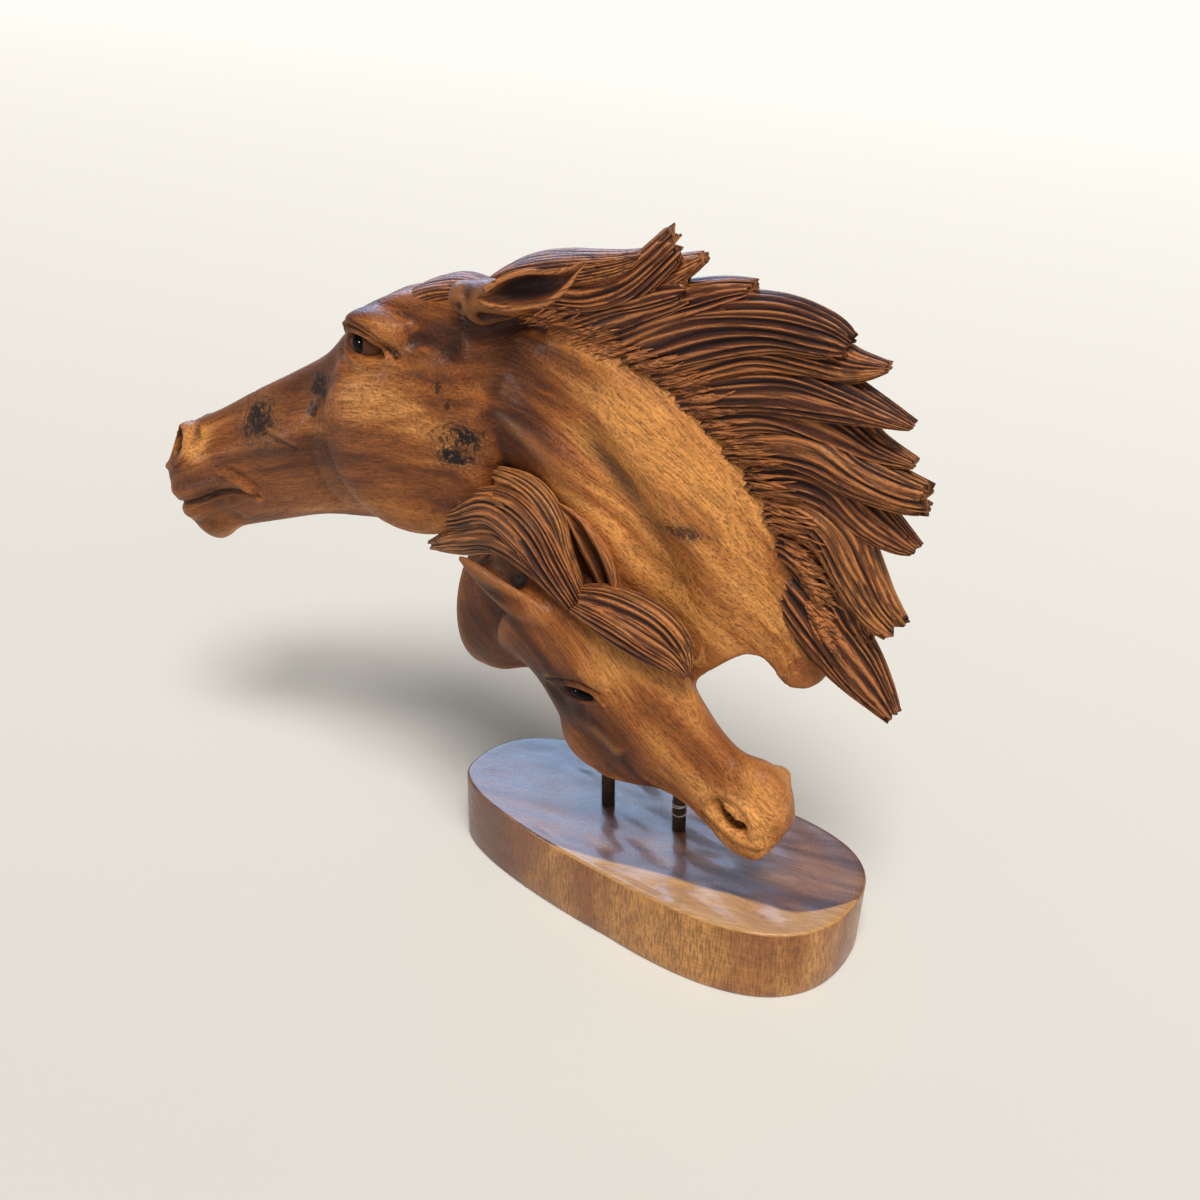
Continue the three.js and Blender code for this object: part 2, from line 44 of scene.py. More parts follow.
camera_data.lens = 45
camera_data.sensor_width = 36
camera_data.clip_start = 0.01
camera = bpy.data.objects.new("viewpoint", camera_data)
camera.location = (0.320, -0.618, 0.598)
towards_viewer = Vector((0.4330, -0.7500, 0.5000))
camera.rotation_euler = towards_viewer.to_track_quat("Z", "Y").to_euler()
bpy.context.collection.objects.link(camera)
bpy.context.scene.camera = camera

# The studio: a plain pale floor that gets a little lighter with distance, broad even light from above the
# viewer, and a cool window behind, which only shines in the varnish.
world = bpy.data.worlds.new("studio")
bpy.context.scene.world = world
world.use_nodes = True
world.node_tree.nodes["Background"].inputs["Color"].default_value = (1.0, 0.985, 0.96, 1)
world.node_tree.nodes["Background"].inputs["Strength"].default_value = 0.24
bpy.context.scene.view_settings.view_transform = "Standard"

floor_material = bpy.data.materials.new("pale_floor")
floor_material.use_nodes = True
nodes, links = floor_material.node_tree.nodes, floor_material.node_tree.links
floor_shader = nodes["Principled BSDF"]
floor_shader.inputs["Roughness"].default_value = 1.0
floor_shader.inputs["Specular IOR Level"].default_value = 0.0
coords = nodes.new("ShaderNodeTexCoord")
axes = nodes.new("ShaderNodeSeparateXYZ")
links.new(coords.outputs["Object"], axes.inputs["Vector"])
distance = nodes.new("ShaderNodeMapRange")
distance.inputs["From Min"].default_value = -0.3
distance.inputs["From Max"].default_value = 2.2
links.new(axes.outputs["Y"], distance.inputs["Value"])
tint = nodes.new("ShaderNodeMix")
tint.data_type = "RGBA"
tint.inputs["A"].default_value = (0.69, 0.685, 0.655, 1)
tint.inputs["B"].default_value = (0.91, 0.915, 0.905, 1)
links.new(distance.outputs["Result"], tint.inputs["Factor"])
links.new(tint.outputs["Result"], floor_shader.inputs["Base Color"])
bm = bmesh.new()
bmesh.ops.create_grid(bm, x_segments=1, y_segments=1, size=8)
floor_mesh = bpy.data.meshes.new("floor")
bm.to_mesh(floor_mesh)
bm.free()
floor_mesh.materials.append(floor_material)
floor = bpy.data.objects.new("floor", floor_mesh)
bpy.context.collection.objects.link(floor)


def sun(name, comes_from, spread, strength, colour):
    """Even light from one direction, softened by its spread in degrees."""
    data = bpy.data.lights.new(name, "SUN")
    data.energy = strength
    data.angle = math.radians(spread)
    data.color = colour
    thing = bpy.data.objects.new(name, data)
    thing.rotation_euler = Vector(comes_from).to_track_quat("Z", "Y").to_euler()
    bpy.context.collection.objects.link(thing)


sun("main_light", (0.35, -0.50, 1.3), 26, 2.85, (1.0, 0.96, 0.90))
sun("side_light", (1.0, -0.45, 0.45), 40, 0.55, (1.0, 0.93, 0.84))
window_data = bpy.data.lights.new("window", "AREA")
window_data.size = 0.9
window_data.energy = 27
window_data.color = (0.45, 0.66, 1.0)
window = bpy.data.objects.new("window", window_data)
window.location = (-0.95, 1.0, 1.05)
window.rotation_euler = (Vector(window.location) - Vector((-0.05, 0, 0.1))).to_track_quat("Z", "Y").to_euler()
window.visible_diffuse = False
bpy.context.collection.objects.link(window)

lamp_data = bpy.data.lights.new("lamp", "AREA")
lamp_data.size = 0.12
lamp_data.energy = 4
lamp = bpy.data.objects.new("lamp", lamp_data)
lamp.location = (-1.2, -1.1, 0.32)
lamp.rotation_euler = (Vector(lamp.location) - Vector((-0.17, 0, 0.3))).to_track_quat("Z", "Y").to_euler()
lamp.visible_diffuse = False
bpy.context.collection.objects.link(lamp)

# The carving: two horses' heads and a flying mane, cut from one block of hard brown wood with gouges
# and files, sanded smooth on the skin, left grooved in the hair, and varnished.
MM = 0.001
STALLION_Y = 14
HEAD_TURN = math.tan(math.radians(5))
HEAD_TURN_STARTS_X = -90
SMALL_HORSE_Y = -26
SMALL_NECK_Y = -14
MANE_Y = 12
SECTION_FULLNESS = 0.84
END_ANGLES = np.radians([74, 60, 46, 33, 20, 9, 0])


def stallion_middle(x):
    """The stallion's middle plane: straight through the neck, turned to the viewer in the head."""
    return STALLION_Y + HEAD_TURN * np.minimum(0, x - HEAD_TURN_STARTS_X)


def smooth_rows(rows, count):
    """Rows of numbers, run through by a smooth curve and read again at even steps."""
    rows = np.array(rows, float)
    last = len(rows) - 1
    at = np.linspace(0, last, count)
    i = np.minimum(at.astype(int), last - 1)
    t = (at - i)[:, None]
    p, q, r, s = (rows[np.clip(i + k, 0, last)] for k in (-1, 0, 1, 2))
    return q + 0.5 * t * (r - p + t * (2 * p - 5 * q + 4 * r - s + t * (3 * (q - r) + s - p)))


def rolled(bm, rings):
    """A grid of faces rolled into a closed body through rings of points, in millimetres."""
    rings = np.concatenate([[rings[0].mean(0)[None].repeat(rings.shape[1], 0)], rings,
                            [rings[-1].mean(0)[None].repeat(rings.shape[1], 0)]])
    count, sides = rings.shape[:2]
    made = bmesh.ops.create_grid(bm, x_segments=count - 1, y_segments=sides, size=0.5)["verts"]
    places = []
    for vert in made:
        i = round((vert.co.x + 0.5) * (count - 1))
        j = round((vert.co.y + 0.5) * sides) % sides
        vert.co = rings[i, j] * MM
        places.append((vert, i, j))
    return places


def body_rings(rows, middle, steps, sides, start, end, relief=None):
    """Upright sections of a head or neck, with both ends rounded and pushed out along (dx, dz)."""
    smooth = smooth_rows(rows, steps)

    def rounded(row, push):
        centre = (row[0:2] + row[2:4]) / 2
        for angle in END_ANGLES:
            size, out = math.sin(angle), math.cos(angle) * np.array(push)
            top, low = centre + (row[0:2] - centre) * size + out, centre + (row[2:4] - centre) * size + out
            yield np.concatenate([top, low, row[4:] * size])

    rows = np.array([*reversed(list(rounded(smooth[0], start))), *smooth, *rounded(smooth[-1], end)])
    place = np.clip((np.arange(len(rows)) - len(END_ANGLES)) / (steps - 1), 0, 1)[:, None]
    xt, zt, xb, zb, top, mid, low = (rows[:, k, None] for k in range(7))
    turn = np.arange(sides) / sides * 2 * np.pi
    up = np.sign(np.cos(turn)) * np.abs(np.cos(turn)) ** SECTION_FULLNESS
    out = np.sign(np.sin(turn)) * np.abs(np.sin(turn)) ** SECTION_FULLNESS
    half = mid + (top - low) / 2 * up + ((top + low) / 2 - mid) * up ** 2
    if relief is not None:
        half = half + relief(place, up)
    x = (xt + xb) / 2 + (xt - xb) / 2 * up
    z = (zt + zb) / 2 + (zt - zb) / 2 * up
    return np.stack([x, middle(x) + half * out, z], -1)


def strand_rings(path, steps, sides, edge=1.0):
    """A flat section swept along a curve: x, y, z, half width (upright) and half thickness (along Y)."""
    rows = smooth_rows(path, steps)
    along = np.gradient(rows[:, [0, 2]], axis=0)
    along /= np.linalg.norm(along, axis=1)[:, None]
    turn = np.arange(sides) / sides * 2 * np.pi
    across = np.cos(turn) * rows[:, 3, None]
    rise = np.sign(np.sin(turn)) * np.abs(np.sin(turn)) ** edge * rows[:, 4, None]
    return np.stack([rows[:, 0, None] - along[:, 1, None] * across, rows[:, 1, None] + rise,
                     rows[:, 2, None] + along[:, 0, None] * across], -1)


def on_both_sides(rings, plane):
    """The same rings, and their mirror image on the other side of a middle plane."""
    return [rings, rings * [1, -1, 1] + [0, 2 * plane, 0]]


def ball_rings(at, radii, turn=0.0, sides=24, steps=16):
    """A ball stretched to three half axes, turned about Y."""
    up = np.linspace(0, np.pi, steps)[:, None]
    round_ = np.arange(sides) / sides * 2 * np.pi
    points = np.stack([np.sin(up) * np.cos(round_), np.sin(up) * np.sin(round_), np.cos(up) + 0 * round_], -1)
    spin = np.array(Matrix.Rotation(math.radians(turn), 3, "Y"))
    return (points * radii) @ spin.T + at


HEAD_ROWS = [
    (-332, 216, -328, 184, 14, 17, 13), (-328, 228, -321, 166, 17, 20, 16), (-317, 236, -309, 156, 20, 22, 16),
    (-298, 246, -292, 168, 17, 21, 15), (-268, 264, -260, 180, 17, 22, 16), (-238, 281, -224, 192, 20, 24, 18),
    (-213, 297, -192, 197, 25, 27, 20), (-188, 322, -158, 202, 27, 29, 22), (-152, 343, -125, 212, 26, 30, 23),
    (-112, 351, -98, 226, 22, 29, 24), (-76, 348, -78, 232, 14, 24, 18),
]
NECK_ROWS = [
    (-104, 346, -112, 246, 14, 23, 18), (-66, 351, -86, 224, 16, 30, 22), (-32, 343, -72, 200, 15, 32, 22),
    (2, 327, -62, 176, 15, 33, 23), (34, 304, -52, 154, 15, 33, 24), (62, 273, -42, 134, 15, 32, 24),
    (80, 236, -26, 122, 15, 31, 24), (90, 196, 0, 118, 15, 29, 24), (94, 160, 36, 118, 15, 27, 22),
]
NECK_MUSCLES = [(3.5, 0.2, 0.85, 0.25), (-5, 0.16, 0.55, -0.2), (4.5, 0.22, 0.15, -0.7)]


def neck_relief(place, up):
    """Two long muscles that run down the neck, with a valley between them."""
    swell = np.sin(np.pi * np.clip(place * 1.25, 0, 1))
    muscles = 0
    for height, spread, start, end in NECK_MUSCLES:
        muscles = muscles + height * np.exp(-((up - start - (end - start) * place) / spread) ** 2)
    return swell * muscles


SMALL_HEAD_ROWS = [
    (-50, 214, -80, 160, 16, 22, 18), (-31, 210, -60, 150, 19, 22, 19), (-8, 202, -44, 128, 21, 23, 20),
    (13, 189, -33, 108, 21, 24, 20), (27, 173, -18, 95, 20, 23, 18), (38, 157, 2, 95, 17, 20, 15),
    (51, 142, 17, 98, 14, 17, 13), (64, 133, 33, 94, 13, 15, 12), (79, 132, 48, 84, 14, 16, 13),
    (91, 121, 62, 75, 15, 18, 14), (95, 105, 75, 72, 12, 14, 11),
]
SMALL_NECK_ROWS = [
    (-38, 205, -56, 144, 18, 22, 18), (-60, 222, -72, 141, 17, 22, 19), (-86, 226, -90, 134, 14, 23, 20),
    (-108, 206, -104, 135, 12, 21, 18),
]

CHEEK = (-147, 266)
CHEEK_RADIUS, CHEEK_OUT, CHEEK_STEP = 58, 38, 16
CHEEK_PROFILE = [(0.02, -1), (0.95, -1), (1, 0.1), (0.94, 0.48), (0.8, 0.74), (0.5, 0.93), (0.01, 1)]
cheek_profile = smooth_rows(CHEEK_PROFILE, 40)
around = np.arange(64) / 64 * 2 * np.pi
cheek_rings = np.stack([
    cheek_profile[:, 0, None] * CHEEK_RADIUS * np.sin(around),
    cheek_profile[:, 1, None] * CHEEK_STEP + 0 * around,
    cheek_profile[:, 0, None] * CHEEK_RADIUS * np.cos(around),
], -1)
cheek_turn = Matrix.Rotation(math.radians(5), 3, "Z") @ Matrix.Rotation(math.radians(180 - 5), 3, "X")
cheek_middle = float(stallion_middle(CHEEK[0]))
cheek_rings = cheek_rings @ np.array(cheek_turn).T
cheek_rings = cheek_rings + [CHEEK[0], cheek_middle - CHEEK_OUT + CHEEK_STEP, CHEEK[1]]

UPPER_LIP = [(-332, -14, 198, 4, 6), (-316, -20, 202, 6, 6), (-296, -20, 208, 5, 5), (-278, -18, 210, 3, 4)]
CHIN = [(-318, -8, 172, 6, 7), (-308, -10, 170, 9, 9), (-294, -10, 176, 7, 7), (-276, -9, 184, 3, 4)]
BROW = [
    (-189, -11, 315, 3, 3), (-182, -14, 323, 6, 7), (-169, -15, 326, 9, 9), (-153, -14, 322, 10, 9),
    (-138, -8, 320, 8, 6), (-120, -3, 320, 4, 3),
]
FOREHEAD = [
    (-190, -4, 318, 4, 6), (-180, -4, 324, 6, 9), (-168, -2, 330, 7, 10), (-152, 0, 336, 7, 10),
    (-134, 2, 338, 5, 8),
]
EAR_ROOT = [(-114, -4, 342, 5, 6), (-103, -7, 346, 12, 14), (-90, -7, 349, 11, 12), (-76, -3, 352, 7, 8)]
SMALL_NEAR_EAR = [
    (-40, -42, 192, 8, 6), (-54, -45, 197, 9, 6), (-72, -48, 206, 8, 5), (-86, -49, 215, 5, 4),
    (-96, -49, 221, 1.5, 2),
]
EAR_PLANE = float(stallion_middle(-103))

stallion_parts = [
    body_rings(HEAD_ROWS, stallion_middle, 64, 64, (-3, -1), (10, -4)),
    body_rings(NECK_ROWS, stallion_middle, 60, 72, (-6, 4), (4, -6), neck_relief),
    *on_both_sides(cheek_rings, cheek_middle),
    *on_both_sides(ball_rings((-171, -10, 312), (19, 13, 14), -15), float(stallion_middle(-179))),
    *on_both_sides(strand_rings(BROW, 24, 16), float(stallion_middle(-179))),
    *on_both_sides(strand_rings(FOREHEAD, 24, 16), float(stallion_middle(-179))),
    ball_rings((-318, -17, 226), (9, 8, 13), 20),
    ball_rings((-317, 3, 221), (8, 8, 10), 20),
    *on_both_sides(strand_rings(UPPER_LIP, 20, 16), float(stallion_middle(-316))),
    *on_both_sides(strand_rings(CHIN, 20, 16), float(stallion_middle(-308))),
    *on_both_sides(strand_rings(EAR_ROOT, 40, 24), EAR_PLANE),
    ball_rings((-110, -12, 351), (7.5, 10, 7.5), -10),
]
small_parts = [
    body_rings(SMALL_HEAD_ROWS, lambda x: SMALL_HORSE_Y + 0 * x, 60, 56, (-10, 6), (3, -3)),
    body_rings(SMALL_NECK_ROWS, lambda x: SMALL_NECK_Y + 0 * x, 30, 56, (6, 0), (-10, 0)),
    *on_both_sides(ball_rings((-15, -37, 128), (25, 12, 24), 30), SMALL_HORSE_Y),
    *on_both_sides(ball_rings((70, -38, 108), (10, 6, 8), 30), SMALL_HORSE_Y),
    strand_rings(SMALL_NEAR_EAR, 30, 20),
    ball_rings((-16, -29, 203), (9, 8, 9), 0),
    ball_rings((82, -16, 120), (7, 6, 7), 0),
]
CUT_LINE = [
    (-84, 60), (-84, 140), (-50, 142), (-20, 142), (5, 147), (26, 160), (41, 174), (55, 184), (66, 182), (76, 169),
    (87, 166), (97, 174), (112, 186), (112, 60),
]
cutters = [
    ball_rings((-322, -23, 226), (6, 8, 11), 22),
    ball_rings((-321, 11, 221), (5.5, 8, 9), 22),
    *on_both_sides(ball_rings((66, -45, 105), (8, 8, 5), 35), SMALL_HORSE_Y),
]


def working_object(name, parts):
    """Closed bodies in one mesh, for the making only."""
    bm = bmesh.new()
    for rings in parts:
        rolled(bm, rings)
    bmesh.ops.remove_doubles(bm, verts=bm.verts, dist=1e-6)
    bmesh.ops.recalc_face_normals(bm, faces=bm.faces)
    mesh = bpy.data.meshes.new(name)
    bm.to_mesh(mesh)
    bm.free()
    thing = bpy.data.objects.new(name, mesh)
    bpy.context.collection.objects.link(thing)
    return thing


# the saw cut under the neck, as a slab of air
def neck_cut_object():
    bm = bmesh.new()
    straight, curve = CUT_LINE[:2], smooth_rows(CUT_LINE[1:-1], 60)
    verts = [bm.verts.new((x * MM, -0.08, z * MM)) for x, z in [straight[0], *curve, CUT_LINE[-1]]]
    face = bm.faces.new(verts)
    grown = bmesh.ops.extrude_face_region(bm, geom=[face])["geom"]
    moved = [g for g in grown if isinstance(g, bmesh.types.BMVert)]
    bmesh.ops.translate(bm, verts=moved, vec=(0, 0.16, 0))
    bmesh.ops.recalc_face_normals(bm, faces=bm.faces)
    mesh = bpy.data.meshes.new("neck_cut")
    bm.to_mesh(mesh)
    bm.free()
    thing = bpy.data.objects.new("neck_cut", mesh)
    bpy.context.collection.objects.link(thing)
    return thing


def baked(thing):
    """The mesh of an object with its modifiers, as a mesh of its own."""
    bpy.context.view_layer.update()
    return bpy.data.meshes.new_from_object(thing.evaluated_get(bpy.context.evaluated_depsgraph_get()))


def fused(thing, voxel, cutter=None):
    """Melts the bodies of an object into one skin, and cuts another object out of it."""
    fuse = thing.modifiers.new("fuse", "REMESH")
    fuse.mode = "VOXEL"
    fuse.voxel_size = voxel * MM
    if cutter:
        cut = thing.modifiers.new("cut", "BOOLEAN")
        cut.operation = "DIFFERENCE"
        cut.object = cutter
        cut.solver = "MANIFOLD"


stallion_skin = working_object("stallion_skin", stallion_parts)
small_skin = working_object("small_skin", small_parts)
hollows = working_object("hollows", cutters)
neck_cut = neck_cut_object()
fused(stallion_skin, 1.8, neck_cut)
bm = bmesh.new()
bm.from_mesh(baked(stallion_skin))
bm.from_mesh(small_skin.data)
bm.to_mesh(small_skin.data)
bm.free()
fused(small_skin, 1.8, hollows)
fused(small_skin, 1.85)
sanded = small_skin.modifiers.new("sanded", "SMOOTH")
sanded.factor = 0.5
sanded.iterations = 5
skin_mesh = baked(small_skin)
for thing in (stallion_skin, small_skin, hollows, neck_cut):
    bpy.data.objects.remove(thing)

# Finer faces round the eyes, nostrils and mouths
FINE_SPOTS = [
    (-172, 315, 20), (-172, 315, 15), (-319, 225, 15), (-290, 198, 34), (-22, 157, 20), (-22, 157, 15),
    (66, 105, 16), (70, 90, 24),
]
bm = bmesh.new()
bm.from_mesh(skin_mesh)
for x, z, reach in FINE_SPOTS:
    near = [e for e in bm.edges if all(math.hypot(v.co.x - x * MM, v.co.z - z * MM) < reach * MM for v in e.verts)]
    bmesh.ops.subdivide_edges(bm, edges=near, cuts=1, use_grid_fill=True)
bm.to_mesh(skin_mesh)
bm.free()

# Strokes of the gouge: a path of (x, z), half width, height (below 0 cuts in) and how sharp it is
HEAD_STROKES = [
    ([(-315, 238), (-311, 233), (-312, 223), (-318, 213), (-328, 209)], 2.4, 2.6, 1),
    ([(-321, 233), (-322, 225), (-325, 217)], 3.0, -2.0, 1),
    ([(-338, 184), (-326, 184), (-306, 191), (-286, 201), (-271, 204), (-262, 202)], 2.0, -3.4, 2),
    ([(-334, 193), (-321, 193), (-306, 199), (-291, 206), (-277, 209), (-266, 207)], 3.2, 1.6, 1),
    ([(-286, 214), (-275, 212), (-267, 208), (-262, 200)], 2.2, 1.4, 1),
    ([(-288, 218), (-274, 217), (-262, 211), (-257, 203)], 3.0, -1.2, 1),
    ([(-328, 178), (-318, 179), (-303, 184), (-283, 195)], 3.2, 1.4, 1),
    ([(-316, 172), (-300, 176), (-286, 185)], 3.0, -1.2, 1),
    ([(-284, 181), (-291, 172), (-297, 163)], 3.5, -2.0, 1),
    ([(-246, 250), (-237, 249), (-225, 246)], 1.5, 0.9, 1),
    ([(-248, 247), (-237, 245.5), (-225, 243)], 1.5, -0.9, 1),
    ([(-306, 232), (-262, 254), (-226, 276), (-200, 296)], 8.0, -1.6, 1),
    ([(-208, 262), (-232, 250), (-258, 238), (-286, 224)], 7.0, 1.5, 1),
    ([(-184, 325), (-176, 329), (-165, 328), (-154, 323), (-145, 316)], 4.0, 1.4, 1),
    ([(-177, 315), (-171, 314)], 5.0, -5.5, 1),
    ([(-167, 313.5), (-160, 312.5)], 3.4, -4.5, 1),
    ([(-184, 308), (-184, 316), (-179, 321), (-170, 320.5), (-161, 316.5), (-154, 312)], 1.0, 1.3, 1),
    ([(-183, 308), (-177, 305.5), (-168, 305.5), (-160, 308), (-154, 311)], 1.0, 0.7, 1),
    ([(-187, 310), (-187.5, 318), (-181, 324.5), (-170, 323.5), (-159, 319), (-149, 312)], 0.9, -2.2, 1),
    ([(-190, 312), (-190, 320), (-182, 327.5), (-169, 326.5), (-157, 321), (-146, 313)], 1.0, -1.5, 1),
    ([(-190, 305), (-180, 300), (-168, 300), (-155, 305)], 3.0, -1.0, 1),
    ([(-140, 322), (-130, 323), (-118, 322)], 6.0, -2.6, 1),
    ([(-156, 308), (-142, 310), (-126, 311), (-110, 313)], 6.0, 1.2, 1),
    ([(-182, 300), (-194, 291), (-205, 279), (-212, 265), (-215, 251), (-214, 237), (-211, 223), (-205, 210)],
     4.5, -1.4, 1),
    ([(-95, 341), (-84, 339), (-70, 337)], 5.0, -4.5, 1),
    ([(-112, 350), (-110, 344), (-104, 345), (-105, 351), (-111, 351)], 1.5, 1.6, 1),
]
NECK_STROKES = [
    ([(-118, 316), (-98, 305), (-51, 289), (-26, 276), (2, 252), (20, 222)], 8.0, -2.2, 1),
    ([(-100, 290), (-67, 281), (-30, 252), (-10, 222)], 8.0, 1.8, 1),
    ([(-112, 272), (-91, 257), (-50, 235)], 8.0, -2.0, 1),
    ([(-79, 344), (-58, 333), (-23, 317), (12, 295), (38, 266)], 8.0, 1.6, 1),
    ([(-90, 334), (-60, 322), (-25, 306), (8, 284), (28, 258)], 9.0, -1.2, 1),
    ([(40, 250), (50, 220), (54, 195)], 10.0, -1.5, 1),
]
SMALL_STROKES = [
    ([(-40, 161), (-31, 167), (-20, 170), (-8, 167)], 5.0, 1.8, 1),
    ([(-28, 157), (-15, 157.5)], 2.6, -3.6, 1),
    ([(-38, 158), (-30, 160.5), (-21, 161.5), (-12, 160), (-5, 156)], 0.9, 1.2, 1),
    ([(-34, 154.5), (-28, 153), (-20, 152.5), (-12, 154.5), (-5, 156)], 0.9, 0.7, 1),
    ([(-42, 160), (-31, 163.5), (-20, 164.5), (-9, 162)], 0.9, -1.4, 1),
    ([(-40, 151), (-31, 147), (-20, 146)], 5.0, -2.8, 1),
    ([(-27, 147), (-15, 142), (-6, 136), (1, 130)], 5.5, 2.0, 1),
    ([(-18, 131), (-8, 126)], 7.0, -0.8, 1),
    ([(10, 123), (17, 113)], 6.0, -0.8, 1),
    ([(58, 109), (63, 104), (73, 100.5)], 3.4, -6.5, 1),
    ([(51, 110), (57, 117), (68, 117), (79, 110), (80, 100)], 2.6, 2.6, 1),
    ([(64, 110), (71, 107)], 2.6, 2.2, 1),
    ([(48, 98), (56, 93), (66, 88.5), (81, 86.5), (94, 90)], 1.8, -2.8, 2),
    ([(52, 102), (66, 95), (82, 92)], 2.8, 1.2, 1),
    ([(58, 86), (70, 80), (84, 78)], 3.0, 1.0, 1),
    ([(0, 165), (22, 148), (44, 128)], 6.0, -1.2, 1),
    ([(-97, 210), (-80, 206), (-58, 202)], 6.0, -2.4, 1),
]


def reach_of(points, path):
    """How far each point lies from a path, seen from the side."""
    best = np.full(len(points), 1e9)
    path = smooth_rows(path, len(path) * 3 if len(path) > 2 else 3)
    for a, b in zip(path[:-1], path[1:]):
        along = b - a
        t = np.clip((points - a) @ along / (along @ along), 0, 1)
        best = np.minimum(best, np.linalg.norm(points - a - t[:, None] * along, axis=1))
    return best


count = len(skin_mesh.vertices)
places = np.empty(count * 3)
normals = np.empty(count * 3)
skin_mesh.vertices.foreach_get("co", places)
skin_mesh.vertices.foreach_get("normal", normals)
places = places.reshape(-1, 3) / MM
normals = normals.reshape(-1, 3)
sideways = np.clip(np.abs(normals[:, 1]) * 1.6, 0, 1)
small_horse = (places[:, 1] < SMALL_HORSE_Y) | ((places[:, 1] < -3) & (places[:, 2] < 175) & (places[:, 0] > -60))
stallion = ~small_horse & ((places[:, 1] > -24) | (places[:, 0] < -110) | (places[:, 2] > 260))
push = np.zeros(count)
for strokes, who in ((HEAD_STROKES, stallion | (places[:, 0] < -140)), (NECK_STROKES, stallion),
                     (SMALL_STROKES, small_horse)):
    for path, width, height, sharp in strokes:
        away = reach_of(places[:, [0, 2]], path) / width
        shape = np.exp(-away ** 2) if sharp == 1 else np.clip(1 - away / 1.4, 0, 1) ** 1.2
        push += np.where(who, shape * height * sideways, 0)
places += normals * push[:, None]
skin_mesh.vertices.foreach_set("co", (places * MM).ravel())
skin_mesh.update()

# How hollow or proud the skin is at each point, for painted shade in the hollows and painted light on the proud parts;
# and where the wood is golden or dark, with some spots of painted shade and painted light
def spread_out(values, edges, times):
    """Values at the points, averaged with their neighbours a number of times."""
    a, b = edges.T
    share = np.bincount(a, minlength=len(values)) + np.bincount(b, minlength=len(values)) + 1.0
    for _ in range(times):
        total = values.copy()
        for k in range(values.shape[1]):
            total[:, k] += np.bincount(a, values[b, k], len(values)) + np.bincount(b, values[a, k], len(values))
        values = total / share[:, None]
    return values


edges = np.empty(len(skin_mesh.edges) * 2, int)
skin_mesh.edges.foreach_get("vertices", edges)
edges = edges.reshape(-1, 2)
skin_mesh.vertices.foreach_get("normal", normals.ravel())
facing = normals.copy()
near_shape = spread_out(places, edges, 6)
far_shape = spread_out(near_shape, edges, 60)
fine_dip = ((near_shape - places) * facing).sum(1)
broad_dip = ((far_shape - near_shape) * facing).sum(1)
# Spots of lighter (golden) or darker wood: x, z, reach and amount. Most are the wood's own colour. Some are painted
# shade, such as the dark spots round the small horse's eye and in the shaded gap behind its ear. Some are painted
# light, such as the light spots on the small horse's lit forehead.
TONE_SHADE_AND_LIGHT_SPOTS = [
    (-307, 226, 12, 2.0), (-299, 204, 24, -0.8), (-292, 170, 14, 0.9), (-237, 262, 36, -0.5), (-3, 263, 28, 0.4),
    (-30, 299, 24, 0.5), (-145, 299, 20, 0.4), (-76, 301, 20, -0.8), (-150, 262, 40, 0.15), (-170, 292, 14, 0.4), (20, 215, 45, 0.75), (55, 200, 34, 0.5),
    (-20, 280, 30, 0.3), (40, 260, 30, 0.3), (0, 290, 35, 0.3), (76, 106, 28, 1.7), (-30, 245, 25, 0.2),
    (-40, 215, 22, 0.3), (-160, 328, 11, 0.6), (-2, 178, 22, 0.7), (34, 150, 18, 0.5),
    (-128, 318, 20, -1.1), (-180, 340, 24, -0.3), (-95, 330, 22, -0.8),
    (-200, 285, 16, -0.5), (-118, 240, 22, -0.5), (-150, 230, 22, -0.2), (-70, 275, 22, -0.6), (-208, 225, 22, -0.4),
    (-250, 215, 30, -0.2), (-34, 151, 15, -1.3), (-2, 126, 20, -0.5), (16, 128, 14, 0.4), (15, 160, 16, -0.3), (-95, 170, 22, -0.8),
    (-104, 352, 16, -1.0), (-80, 212, 20, -0.7), (62, 165, 18, -0.4),
]
tone = np.zeros(count)
for x, z, reach, amount in TONE_SHADE_AND_LIGHT_SPOTS:
    tone += amount * np.exp(-((places[:, 0] - x) ** 2 + (places[:, 2] - z) ** 2) / reach ** 2)
x, z = places[:, 0], places[:, 2]
bent = z + 0.00125 * np.minimum(x + 120, 0) ** 2 + 0.00266 * np.maximum(x + 120, 0) ** 2
on_cheek = np.hypot(x - CHEEK[0], z - CHEEK[1]) < CHEEK_RADIUS + 4
slanted = small_horse & ~on_cheek & (x > -110)
along_grain = np.stack([x, places[:, 1], np.where(slanted, z + 0.9 * x + 400, bent)], -1) * MM
grain_store = skin_mesh.attributes.new("grain", "FLOAT_VECTOR", "POINT")
grain_store.data.foreach_set("vector", along_grain.ravel().astype(np.float32))
for name, values in (("hollow", np.clip(fine_dip * 0.9 + broad_dip * 0.16, -1, 1)), ("tone", tone)):
    skin_mesh.attributes.new(name, "FLOAT", "POINT").data.foreach_set("value", values.astype(np.float32))

